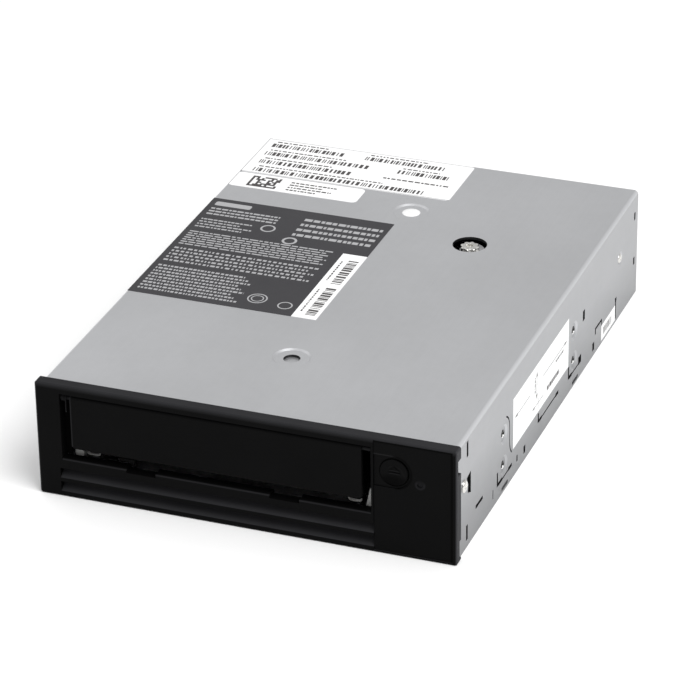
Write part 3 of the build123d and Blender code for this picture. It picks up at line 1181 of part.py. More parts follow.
with BuildPart() as gear_shaft:
    with BuildSketch(profile(GEAR_SHAFT_START_X)):
        with Locations(GEAR_CENTRE):
            Circle(GEAR_SHAFT_RADIUS)
    extrude(amount=BRACKET_X + BRACKET_THICKNESS - GEAR_SHAFT_START_X)
gear_shaft.part.label = "gear_shaft"
export_step(gear_shaft.part, "parts/gear_shaft.step")

PINION_PHASE = MOTOR_LEAN + pi + pi / MOTOR_PINION_TEETH
PINION_POINTS = gear_outline(MOTOR_CENTRE, MOTOR_PINION_TEETH, LOADER_MODULE, PINION_PHASE)
with BuildPart() as motor_pinion:
    with BuildSketch(profile(LOADER_GEAR_X - (MOTOR_PINION_WIDTH - LOADER_GEAR_WIDTH) / 2)):
        with BuildLine():
            Polyline(PINION_POINTS, close=True)
        make_face()
    extrude(amount=MOTOR_PINION_WIDTH)
    with BuildSketch(profile(LOADER_GEAR_X)):
        with Locations(MOTOR_CENTRE):
            Circle(MOTOR_SHAFT_RADIUS)
    extrude(amount=BRACKET_X - LOADER_GEAR_X + BRACKET_THICKNESS + LOADER_MOTOR_BOSS)
motor_pinion.part.label = "motor_pinion"
export_step(motor_pinion.part, "parts/motor_pinion.step")

BRACKET_FRONT_DEPTH = 42.0
BRACKET_REAR_DEPTH = 68.0
BRACKET_TOP = 34.5
BRACKET_FOOT = 6.0
BRACKET_CORNER = 4.0
BRACKET_FRONT_Y = chassis_y(BRACKET_FRONT_DEPTH)
BRACKET_REAR_Y = chassis_y(BRACKET_REAR_DEPTH)
BRACKET_BACK_X = BRACKET_X + BRACKET_THICKNESS
with BuildPart() as gear_bracket:
    with BuildSketch(profile(BRACKET_X)) as bracket_outline:
        rect(BRACKET_FRONT_Y, BRACKET_REAR_Y, DECK_TOP, BRACKET_TOP)
        chamfer(bracket_outline.vertices().group_by(Axis.Y)[-1], BRACKET_CORNER)
        with Locations(GEAR_CENTRE):
            Circle(GEAR_SHAFT_RADIUS + BORE_GAP, mode=Mode.SUBTRACT)
        with Locations(MOTOR_CENTRE):
            Circle(LOADER_MOTOR_BOSS, mode=Mode.SUBTRACT)
    extrude(amount=BRACKET_THICKNESS)
    with BuildSketch(level(DECK_TOP)):
        rect(BRACKET_BACK_X, BRACKET_BACK_X + BRACKET_FOOT, BRACKET_FRONT_Y, BRACKET_REAR_Y)
    extrude(amount=BRACKET_THICKNESS)
gear_bracket.part.label = "gear_bracket"
export_step(gear_bracket.part, "parts/gear_bracket.step")

LOADER_MOTOR_FLAT = 5.0
with BuildPart() as loader_motor:
    with BuildSketch(profile(BRACKET_BACK_X)):
        with Locations(MOTOR_CENTRE):
            Circle(LOADER_MOTOR_RADIUS)
            Rectangle(2 * LOADER_MOTOR_RADIUS, 2 * LOADER_MOTOR_FLAT, mode=Mode.INTERSECT)
    extrude(amount=LOADER_MOTOR_LENGTH)
    with BuildSketch(profile(BRACKET_X)):
        with Locations(MOTOR_CENTRE):
            Circle(LOADER_MOTOR_BOSS)
    extrude(amount=BRACKET_THICKNESS)
    with BuildSketch(profile(BRACKET_X)):
        with Locations(MOTOR_CENTRE):
            Circle(MOTOR_SHAFT_RADIUS + BORE_GAP)
    extrude(amount=BRACKET_THICKNESS + LOADER_MOTOR_BOSS + AIR_GAP, mode=Mode.SUBTRACT)
loader_motor.part.label = "loader_motor"
export_step(loader_motor.part, "parts/loader_motor.step")

# Reel motors: a stator on a base plate under the deck, a fixed spindle and a cupped rotor
MOTOR_BASE_RADIUS = 19.5
MOTOR_BASE_THICKNESS = 0.8
STATOR_RADIUS = 14.2
STATOR_HUB_RADIUS = 6.0
STATOR_BORE = 4.2
STATOR_TOP = 8.8
POLE_COUNT = 9
POLE_WIDTH = 2.6
POLE_SHOE = 1.6
SHOE_GAP = 1.6
SPINDLE_RADIUS = 2.0
ROTOR_RADIUS = 16.2
ROTOR_WALL = 1.2
ROTOR_DISC_BOTTOM = 9.3
ROTOR_DISC = 0.8
ROTOR_SKIRT_BOTTOM = 7.4
SLEEVE_RADIUS = 3.9
SUPPLY_SPINDLE_TOP = 13.0
REEL_SPINDLE_TOP = 30.0
MOTOR_BASE_BOTTOM = DECK_BOTTOM - MOTOR_BASE_THICKNESS
ROTOR_TOP = ROTOR_DISC_BOTTOM + ROTOR_DISC


def stator_sketch(centre):
    """Stator with its radial poles and curved shoes, in the active sketch."""
    with Locations(centre):
        Circle(STATOR_RADIUS)
        Circle(STATOR_RADIUS - POLE_SHOE, mode=Mode.SUBTRACT)
        with PolarLocations(STATOR_RADIUS, POLE_COUNT, start_angle=180 / POLE_COUNT):
            Rectangle(2 * POLE_SHOE + OVERRUN, SHOE_GAP, mode=Mode.SUBTRACT)
        with PolarLocations((STATOR_RADIUS + STATOR_BORE) / 2, POLE_COUNT):
            Rectangle(STATOR_RADIUS - STATOR_BORE - POLE_SHOE / 2, POLE_WIDTH)
        Circle(STATOR_HUB_RADIUS)
        Circle(STATOR_BORE, mode=Mode.SUBTRACT)


def motor_base_sketch(centre):
    """Round base plate of a reel motor, bored for its spindle."""
    with Locations(centre):
        Circle(MOTOR_BASE_RADIUS)
        Circle(SPINDLE_RADIUS, mode=Mode.SUBTRACT)


def rotor_solid(centre):
    """Cupped rotor with its sleeve, turned about the spindle of a reel motor."""
    with BuildSketch(level(ROTOR_SKIRT_BOTTOM)) as cup:
        with Locations(centre):
            Circle(ROTOR_RADIUS)
    extrude(cup.sketch, amount=ROTOR_TOP - ROTOR_SKIRT_BOTTOM)
    with BuildSketch(level(ROTOR_SKIRT_BOTTOM)) as hollow:
        with Locations(centre):
            Circle(ROTOR_RADIUS - ROTOR_WALL)
    extrude(hollow.sketch, amount=ROTOR_DISC_BOTTOM - ROTOR_SKIRT_BOTTOM, mode=Mode.SUBTRACT)
    with BuildSketch(level(ROTOR_SKIRT_BOTTOM)) as sleeve:
        with Locations(centre):
            Circle(SLEEVE_RADIUS)
    extrude(sleeve.sketch, amount=ROTOR_TOP - ROTOR_SKIRT_BOTTOM)
    with BuildSketch(level(ROTOR_SKIRT_BOTTOM - OVERRUN)) as bore:
        with Locations(centre):
            Circle(SPINDLE_RADIUS + BORE_GAP)
    extrude(bore.sketch, amount=ROTOR_TOP - ROTOR_SKIRT_BOTTOM + 2 * OVERRUN, mode=Mode.SUBTRACT)


SUPPLY_CENTRE = (CARTRIDGE_X, HUB_Y)
REEL_CENTRE = (REEL_X, REEL_Y)

with BuildPart() as supply_stator:
    with BuildSketch(level(MOTOR_BASE_BOTTOM)):
        motor_base_sketch(SUPPLY_CENTRE)
    extrude(amount=MOTOR_BASE_THICKNESS)
    with BuildSketch(level(DECK_BOTTOM)):
        stator_sketch(SUPPLY_CENTRE)
    extrude(amount=STATOR_TOP - DECK_BOTTOM)
supply_stator.part.label = "supply_stator"
export_step(supply_stator.part, "parts/supply_stator.step")

with BuildPart() as takeup_stator:
    with BuildSketch(level(MOTOR_BASE_BOTTOM)):
        motor_base_sketch(REEL_CENTRE)
    extrude(amount=MOTOR_BASE_THICKNESS)
    with BuildSketch(level(DECK_BOTTOM)):
        stator_sketch(REEL_CENTRE)
    extrude(amount=STATOR_TOP - DECK_BOTTOM)
takeup_stator.part.label = "takeup_stator"
export_step(takeup_stator.part, "parts/takeup_stator.step")

with BuildPart() as reel_spindles:
    for centre, top in ((SUPPLY_CENTRE, SUPPLY_SPINDLE_TOP), (REEL_CENTRE, REEL_SPINDLE_TOP)):
        with BuildSketch(level(MOTOR_BASE_BOTTOM)):
            with Locations(centre):
                Circle(SPINDLE_RADIUS)
        extrude(amount=top - MOTOR_BASE_BOTTOM)
reel_spindles.part.label = "reel_spindles"
export_step(reel_spindles.part, "parts/reel_spindles.step")

with BuildPart() as supply_rotor:
    rotor_solid(SUPPLY_CENTRE)
supply_rotor.part.label = "supply_rotor"
export_step(supply_rotor.part, "parts/supply_rotor.step")

with BuildPart() as takeup_rotor:
    rotor_solid(REEL_CENTRE)
takeup_rotor.part.label = "takeup_rotor"
export_step(takeup_rotor.part, "parts/takeup_rotor.step")

# Supply clutch: a toothed ring that grips the hub of the cartridge
CLUTCH_RADIUS = 11.0
CLUTCH_RING = 3.0
CLUTCH_DISC = 1.2
CLUTCH_TOOTH_HEIGHT = 1.4
CLUTCH_TEETH = 12
CLUTCH_TOOTH_WIDTH = 2.6
CLUTCH_TOOTH_ANGLE = 80  # degrees, at its broad end
CLUTCH_DRAFT = 10  # degrees
CLUTCH_NOSE_RADIUS = 4.5
with BuildPart() as supply_clutch:
    with BuildSketch(level(ROTOR_TOP)):
        with Locations(SUPPLY_CENTRE):
            Circle(CLUTCH_RADIUS)
            Circle(SPINDLE_RADIUS + BORE_GAP, mode=Mode.SUBTRACT)
    extrude(amount=CLUTCH_DISC)
    with BuildSketch(level(ROTOR_TOP + CLUTCH_DISC)):
        with Locations(SUPPLY_CENTRE):
            with PolarLocations(CLUTCH_RADIUS - CLUTCH_RING / 2, CLUTCH_TEETH):
                Trapezoid(CLUTCH_RING, CLUTCH_TOOTH_WIDTH, CLUTCH_TOOTH_ANGLE, rotation=-90)
            Circle(CLUTCH_NOSE_RADIUS)
            Circle(SPINDLE_RADIUS + BORE_GAP, mode=Mode.SUBTRACT)
    extrude(amount=CLUTCH_TOOTH_HEIGHT, taper=CLUTCH_DRAFT)
supply_clutch.part.label = "supply_clutch"
export_step(supply_clutch.part, "parts/supply_clutch.step")

# Take-up reel: hub with its lower flange, and the upper flange pressed on
REEL_FLANGE_RADIUS = 43.0
REEL_FLANGE = 1.0
REEL_HUB_RADIUS = 22.0
REEL_WEB_RADIUS = 18.5
REEL_BOSS_RADIUS = 10.0
REEL_RIB_COUNT = 6
REEL_RIB_WIDTH = 1.6
LEADER_SLOT_WIDTH = 6.0
TAPE_CENTRE_LEVEL = 21.0
TAPE_WIDTH = 12.65
TAPE_MARGIN = 0.3
BAND_HALF = TAPE_WIDTH / 2 + TAPE_MARGIN
BAND_LOW = TAPE_CENTRE_LEVEL - BAND_HALF
BAND_HIGH = TAPE_CENTRE_LEVEL + BAND_HALF
WINDOW_INNER = 26.0
WINDOW_OUTER = 39.0
WINDOW_COUNT = 5
WINDOW_SPAN = 44.0  # degrees
with BuildPart() as takeup_reel:
    with BuildSketch(level(BAND_LOW - REEL_FLANGE)):
        with Locations(REEL_CENTRE):
            Circle(REEL_FLANGE_RADIUS)
    extrude(amount=REEL_FLANGE)
    with BuildSketch(level(BAND_LOW)):
        with Locations(REEL_CENTRE):
            Circle(REEL_HUB_RADIUS)
            Circle(REEL_WEB_RADIUS, mode=Mode.SUBTRACT)
            with PolarLocations((REEL_WEB_RADIUS + REEL_BOSS_RADIUS) / 2, REEL_RIB_COUNT):
                Rectangle(REEL_HUB_RADIUS - REEL_BOSS_RADIUS, REEL_RIB_WIDTH)
            Circle(REEL_BOSS_RADIUS)
            with PolarLocations(REEL_HUB_RADIUS, 1):
                Rectangle(2 * (REEL_HUB_RADIUS - REEL_WEB_RADIUS), LEADER_SLOT_WIDTH, mode=Mode.SUBTRACT)
    extrude(amount=BAND_HIGH - BAND_LOW)
    with BuildSketch(level(ROTOR_TOP)):
        with Locations(REEL_CENTRE):
            Circle(REEL_BOSS_RADIUS)
    extrude(amount=BAND_LOW - REEL_FLANGE - ROTOR_TOP)
    with BuildSketch(level(ROTOR_TOP - OVERRUN)):
        with Locations(REEL_CENTRE):
            Circle(SPINDLE_RADIUS + BORE_GAP)
    extrude(amount=BAND_HIGH - ROTOR_TOP + 2 * OVERRUN, mode=Mode.SUBTRACT)
takeup_reel.part.label = "takeup_reel"
export_step(takeup_reel.part, "parts/takeup_reel.step")

with BuildPart() as takeup_top_flange:
    with BuildSketch(level(BAND_HIGH)) as top_flange_outline:
        with Locations(REEL_CENTRE):
            Circle(REEL_FLANGE_RADIUS)
            Circle(REEL_BOSS_RADIUS / 2, mode=Mode.SUBTRACT)
    extrude(amount=REEL_FLANGE)
    for window in range(WINDOW_COUNT):
        with BuildSketch(level(BAND_HIGH - OVERRUN)):
            with Locations(REEL_CENTRE):
                with PolarLocations(0, 1, start_angle=360 / WINDOW_COUNT * window):
                    SlotArc(
                        CenterArc((0, 0), (WINDOW_INNER + WINDOW_OUTER) / 2, -WINDOW_SPAN / 2, WINDOW_SPAN),
                        (WINDOW_OUTER - WINDOW_INNER) / 2,
                    )
        extrude(amount=REEL_FLANGE + 2 * OVERRUN, mode=Mode.SUBTRACT)
takeup_top_flange.part.label = "takeup_top_flange"
export_step(takeup_top_flange.part, "parts/takeup_top_flange.step")

# Guide rollers on their posts: the tape's way from the cartridge round the head to the reel
ROLLER_PLACES = ((47.3, 114.2), (46.5, 124.5), (43.5, 142.5), (34.0, 150.5))  # X and depth
ROLLER_RADIUS = 4.2
ROLLER_FLANGE_RADIUS = 4.9
ROLLER_FLANGE = 0.8
ROLLER_POST_RADIUS = 1.5
ROLLER_POST_FOOT_RADIUS = 3.0
ROLLER_POST_HEAD_RADIUS = 2.4
ROLLER_POST_HEAD = 1.0
ROLLER_LOW = BAND_LOW - ROLLER_FLANGE
ROLLER_HIGH = BAND_HIGH + ROLLER_FLANGE
ROLLER_AXES = [(x, chassis_y(depth)) for x, depth in ROLLER_PLACES]

for number, axis_place in enumerate(ROLLER_AXES, start=1):
    with BuildPart() as guide_roller:
        with BuildSketch(Plane(origin=(*axis_place, 0), x_dir=(1, 0, 0), z_dir=(0, -1, 0))):
            with BuildLine():
                Polyline(
                    (ROLLER_POST_RADIUS + BORE_GAP, ROLLER_LOW),
                    (ROLLER_FLANGE_RADIUS, ROLLER_LOW),
                    (ROLLER_FLANGE_RADIUS, BAND_LOW - ROLLER_FLANGE / 2),
                    (ROLLER_RADIUS, BAND_LOW),
                    (ROLLER_RADIUS, BAND_HIGH),
                    (ROLLER_FLANGE_RADIUS, BAND_HIGH + ROLLER_FLANGE / 2),
                    (ROLLER_FLANGE_RADIUS, ROLLER_HIGH),
                    (ROLLER_POST_RADIUS + BORE_GAP, ROLLER_HIGH),
                    close=True,
                )
            make_face()
        revolve(axis=Axis((*axis_place, 0), (0, 0, 1)))
    guide_roller.part.label = f"guide_roller_{number}"
    export_step(guide_roller.part, f"parts/guide_roller_{number}.step")

with BuildPart() as roller_posts:
    with BuildSketch(level(DECK_TOP)):
        with Locations(ROLLER_AXES):
            Circle(ROLLER_POST_FOOT_RADIUS)
    extrude(amount=ROLLER_LOW - AIR_GAP - DECK_TOP)
    with BuildSketch(level(DECK_TOP)):
        with Locations(ROLLER_AXES):
            Circle(ROLLER_POST_RADIUS)
    extrude(amount=ROLLER_HIGH + AIR_GAP - DECK_TOP)
    with BuildSketch(level(ROLLER_HIGH + AIR_GAP)):
        with Locations(ROLLER_AXES):
            Circle(ROLLER_POST_HEAD_RADIUS)
    extrude(amount=ROLLER_POST_HEAD)
roller_posts.part.label = "roller_posts"
export_step(roller_posts.part, "parts/roller_posts.step")

# Head actuator: a cast bracket with two rods, the carriage, the head and its lead screw
HEAD_BASE_LEFT = 20.0
HEAD_BASE_RIGHT = 39.5
HEAD_BASE_HALF = 5.7
HEAD_BASE_PLATE = 1.2
HEAD_BASE_WALL = 1.5
HEAD_ROD_RADIUS = 1.2
HEAD_ROD_X = 25.0
HEAD_ROD_SPREAD = 6.0
HEAD_SCREW_RADIUS = 1.2
HEAD_MOTOR_BOTTOM = 5.1
CARRIAGE_LEFT = 22.6
CARRIAGE_RIGHT = 36.6
CARRIAGE_HALF = 4.9
CARRIAGE_HEIGHT = 12.0
HEAD_TRAVEL = 3.0
HEAD_WIDTH = 6.0
HEAD_TIP_X = 49.5
HEAD_HEIGHT = 15.0
HEAD_NOSE = 2.2
HEAD_RODS = [(HEAD_ROD_X, HEAD_SCREW_Y + side * HEAD_ROD_SPREAD / 2) for side in (1, -1)]
HEAD_SCREW_CENTRE = (HEAD_SCREW_X, HEAD_SCREW_Y)
HEAD_BASE_FRONT_Y = HEAD_SCREW_Y - HEAD_BASE_HALF
HEAD_BASE_REAR_Y = HEAD_SCREW_Y + HEAD_BASE_HALF
CARRIAGE_LOW = TAPE_CENTRE_LEVEL - CARRIAGE_HEIGHT / 2
HEAD_CEILING = CARRIAGE_LOW + CARRIAGE_HEIGHT + HEAD_TRAVEL + 2 * AIR_GAP
HEAD_BASE_TOP = HEAD_CEILING + HEAD_BASE_PLATE
with BuildPart() as head_base:
    with BuildSketch(level(DECK_TOP)):
        rect(HEAD_BASE_LEFT, HEAD_BASE_RIGHT, HEAD_BASE_FRONT_Y, HEAD_BASE_REAR_Y)
    extrude(amount=HEAD_BASE_PLATE)
    with BuildSketch(level(HEAD_CEILING)):
        rect(HEAD_BASE_LEFT, CARRIAGE_RIGHT - AIR_GAP, HEAD_BASE_FRONT_Y, HEAD_BASE_REAR_Y)
    extrude(amount=HEAD_BASE_PLATE)
    with BuildSketch(level(DECK_TOP)):
        rect(HEAD_BASE_LEFT, HEAD_BASE_LEFT + HEAD_BASE_WALL, HEAD_BASE_FRONT_Y, HEAD_BASE_REAR_Y)
    extrude(amount=HEAD_BASE_TOP - DECK_TOP)
    with BuildSketch(level(DECK_TOP - OVERRUN)):
        with Locations(HEAD_RODS):
            Circle(HEAD_ROD_RADIUS)
        with Locations(HEAD_SCREW_CENTRE):
            Circle(HEAD_SCREW_RADIUS + BORE_GAP)
    extrude(amount=HEAD_BASE_TOP - DECK_TOP + 2 * OVERRUN, mode=Mode.SUBTRACT)
head_base.part.label = "head_base"
export_step(head_base.part, "parts/head_base.step")

with BuildPart() as head_rods:
    with BuildSketch(level(DECK_TOP)):
        with Locations(HEAD_RODS):
            Circle(HEAD_ROD_RADIUS)
    extrude(amount=HEAD_BASE_TOP - DECK_TOP)
head_rods.part.label = "head_rods"
export_step(head_rods.part, "parts/head_rods.step")

with BuildPart() as head_carriage:
    with BuildSketch(level(CARRIAGE_LOW)) as carriage_outline:
        rect(CARRIAGE_LEFT, CARRIAGE_RIGHT, HEAD_SCREW_Y - CARRIAGE_HALF, HEAD_SCREW_Y + CARRIAGE_HALF)
        chamfer(carriage_outline.vertices().group_by(Axis.X)[0], HEAD_ROD_RADIUS)
        with Locations(HEAD_RODS):
            Circle(HEAD_ROD_RADIUS + BORE_GAP, mode=Mode.SUBTRACT)
        with Locations(HEAD_SCREW_CENTRE):
            Circle(HEAD_SCREW_RADIUS + BORE_GAP, mode=Mode.SUBTRACT)
    extrude(amount=CARRIAGE_HEIGHT)
head_carriage.part.label = "head_carriage"
export_step(head_carriage.part, "parts/head_carriage.step")

# The head's two crowned rails meet the tape
HEAD_RAIL = 2.0
HEAD_SLOT_DEPTH = 1.2
with BuildPart() as tape_head:
    with BuildSketch(level(TAPE_CENTRE_LEVEL - HEAD_HEIGHT / 2)):
        with BuildLine():
            back = Polyline(
                (HEAD_TIP_X - HEAD_NOSE, HEAD_Y + HEAD_WIDTH / 2),
                (CARRIAGE_RIGHT, HEAD_Y + HEAD_WIDTH / 2),
                (CARRIAGE_RIGHT, HEAD_Y - HEAD_WIDTH / 2),
                (HEAD_TIP_X - HEAD_NOSE, HEAD_Y - HEAD_WIDTH / 2),
            )
            ThreePointArc(back @ 1, (HEAD_TIP_X, HEAD_Y), back @ 0)
        make_face()
        rect(
            HEAD_TIP_X - HEAD_SLOT_DEPTH,
            HEAD_TIP_X + OVERRUN,
            HEAD_Y - HEAD_WIDTH / 2 + HEAD_RAIL,
            HEAD_Y + HEAD_WIDTH / 2 - HEAD_RAIL,
            mode=Mode.SUBTRACT,
        )
    extrude(amount=HEAD_HEIGHT)
tape_head.part.label = "tape_head"
export_step(tape_head.part, "parts/tape_head.step")

with BuildPart() as head_screw:
    with BuildSketch(level(HEAD_MOTOR_BOTTOM + HEAD_BASE_PLATE)):
        with Locations(HEAD_SCREW_CENTRE):
            Circle(HEAD_SCREW_RADIUS)
    extrude(amount=HEAD_BASE_TOP - HEAD_MOTOR_BOTTOM - HEAD_BASE_PLATE)
head_screw.part.label = "head_screw"
export_step(head_screw.part, "parts/head_screw.step")

with BuildPart() as head_motor:
    with BuildSketch(level(HEAD_MOTOR_BOTTOM)):
        with Locations(HEAD_SCREW_CENTRE):
            Circle(HEAD_MOTOR_RADIUS)
    extrude(amount=DECK_TOP - HEAD_MOTOR_BOTTOM)
    with BuildSketch(level(HEAD_MOTOR_BOTTOM + HEAD_BASE_PLATE - BORE_GAP)):
        with Locations(HEAD_SCREW_CENTRE):
            Circle(HEAD_SCREW_RADIUS + BORE_GAP)
    extrude(amount=DECK_TOP - HEAD_MOTOR_BOTTOM, mode=Mode.SUBTRACT)
head_motor.part.label = "head_motor"
export_step(head_motor.part, "parts/head_motor.step")

# Threader: a curved slide in its track carries the leader grabber round the rollers
THREAD_X = 8.0
THREAD_Y = chassis_y(122.0)
THREAD_RADIUS = 48.4
THREAD_HALF = 2.3
TRACK_WALL = 0.6
TRACK_FLOOR = 0.6
TRACK_HEIGHT = 2.6
TRACK_START = -38.0  # degrees
TRACK_END = 72.0
THREAD_REST = -29.7
THREAD_SPAN = 14.0
SLIDE_HEIGHT = 1.6
GRABBER_SIZE = 4.4
GRABBER_TOP = 30.0
GRABBER_CLAW_REACH = 3.0
GRABBER_CLAW_GAP = 3.0
THREAD_INNER = THREAD_RADIUS - THREAD_HALF
THREAD_OUTER = THREAD_RADIUS + THREAD_HALF
CHANNEL_INNER = THREAD_INNER - SLIDE_GAP
CHANNEL_OUTER = THREAD_OUTER + SLIDE_GAP
SLIDE_BOTTOM = DECK_TOP + TRACK_FLOOR + SLIDE_GAP


def arc_band(inner, outer, start, end):
    """Curved strip about the threader's centre, in the active sketch. Angles in degrees."""
    centre = Vector(THREAD_X, THREAD_Y)

    def spot(radius, angle):
        return centre + Vector(cos(radians(angle)), sin(radians(angle))) * radius

    middle = (start + end) / 2
    with BuildLine() as outline:
        ThreePointArc(spot(outer, start), spot(outer, middle), spot(outer, end))
        Line(spot(outer, end), spot(inner, end))
        ThreePointArc(spot(inner, end), spot(inner, middle), spot(inner, start))
        Line(spot(inner, start), spot(outer, start))
    make_face(outline.edges())


with BuildPart() as threading_track:
    with BuildSketch(level(DECK_TOP)):
        arc_band(CHANNEL_INNER - TRACK_WALL, CHANNEL_OUTER + TRACK_WALL, TRACK_START, TRACK_END)
    extrude(amount=TRACK_HEIGHT)
    with BuildSketch(level(DECK_TOP + TRACK_FLOOR)):
        arc_band(CHANNEL_INNER, CHANNEL_OUTER, TRACK_START - THREAD_SPAN, TRACK_END + THREAD_SPAN)
    extrude(amount=TRACK_HEIGHT, mode=Mode.SUBTRACT)
threading_track.part.label = "threading_track"
export_step(threading_track.part, "parts/threading_track.step")

with BuildPart() as threading_slide:
    with BuildSketch(level(SLIDE_BOTTOM)):
        arc_band(THREAD_INNER, THREAD_OUTER, THREAD_REST - THREAD_SPAN / 2, THREAD_REST + THREAD_SPAN / 2)
    extrude(amount=SLIDE_HEIGHT)
threading_slide.part.label = "threading_slide"
export_step(threading_slide.part, "parts/threading_slide.step")

with BuildPart() as leader_grabber:
    with BuildSketch(level(SLIDE_BOTTOM + SLIDE_HEIGHT)):
        with Locations((THREAD_X, THREAD_Y)):
            with PolarLocations(THREAD_RADIUS, 1, start_angle=THREAD_REST):
                Rectangle(GRABBER_SIZE, GRABBER_SIZE)
    extrude(amount=GRABBER_TOP - SLIDE_BOTTOM - SLIDE_HEIGHT)
    with BuildSketch(level(TAPE_CENTRE_LEVEL - GRABBER_CLAW_REACH)):
        with Locations((THREAD_X, THREAD_Y)):
            with PolarLocations(THREAD_RADIUS - GRABBER_SIZE / 2, 1, start_angle=THREAD_REST):
                Circle(GRABBER_CLAW_GAP / 2)
    extrude(amount=2 * GRABBER_CLAW_REACH, mode=Mode.SUBTRACT)
leader_grabber.part.label = "leader_grabber"
export_step(leader_grabber.part, "parts/leader_grabber.step")

# Cartridge memory reader: a small board behind the left rear corner of the tray
READER_X = -66.6
READER_THICKNESS = 1.0
READER_FRONT_DEPTH = 118.0
READER_LENGTH = 14.0
READER_TOP = 26.0
READER_FRONT_Y = chassis_y(READER_FRONT_DEPTH)
with BuildPart() as memory_reader:
    with BuildSketch(profile(READER_X)) as reader_outline:
        rect(READER_FRONT_Y, READER_FRONT_Y + READER_LENGTH, DECK_TOP, READER_TOP)
        chamfer(reader_outline.vertices().group_by(Axis.Y)[-1], READER_THICKNESS)
    extrude(amount=READER_THICKNESS)
memory_reader.part.label = "memory_reader"
export_step(memory_reader.part, "parts/memory_reader.step")
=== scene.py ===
"""Looks of a half-height data tape drive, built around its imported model."""
import math
import random

import bmesh
import bpy
from mathutils import Matrix, Vector


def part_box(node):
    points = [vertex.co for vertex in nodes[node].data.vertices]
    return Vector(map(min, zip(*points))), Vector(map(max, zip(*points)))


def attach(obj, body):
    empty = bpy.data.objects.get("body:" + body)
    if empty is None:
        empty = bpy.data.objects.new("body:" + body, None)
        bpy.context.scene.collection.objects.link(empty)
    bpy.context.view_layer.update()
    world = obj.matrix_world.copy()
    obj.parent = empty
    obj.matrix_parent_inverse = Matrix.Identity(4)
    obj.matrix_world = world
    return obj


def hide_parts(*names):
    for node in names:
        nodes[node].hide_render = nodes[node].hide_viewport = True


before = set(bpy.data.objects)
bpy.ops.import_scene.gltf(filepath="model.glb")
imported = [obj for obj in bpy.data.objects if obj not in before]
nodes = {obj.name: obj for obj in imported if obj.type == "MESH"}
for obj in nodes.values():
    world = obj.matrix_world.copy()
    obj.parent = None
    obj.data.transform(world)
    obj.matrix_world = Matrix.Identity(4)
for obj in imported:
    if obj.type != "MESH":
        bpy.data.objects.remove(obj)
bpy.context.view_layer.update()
collection = bpy.context.scene.collection

MM = 0.001
CHASSIS_FRONT, BEZEL_FRONT = -100.5, -104.5
WHITE = (1.0,) * 3
NOISE_LOW, NOISE_HIGH = 0.3, 0.7  # where most values of a noise lie
NOISE_ROUGHNESS = 0.55
CLOUD_SCALE, SPECK_SCALE = 45, 2600  # of mouldings, in features per metre
MIX_INPUTS, MIX_COLOUR = (0, 6, 7), 2  # a Mix node's sockets for a factor and two colours, and its colour


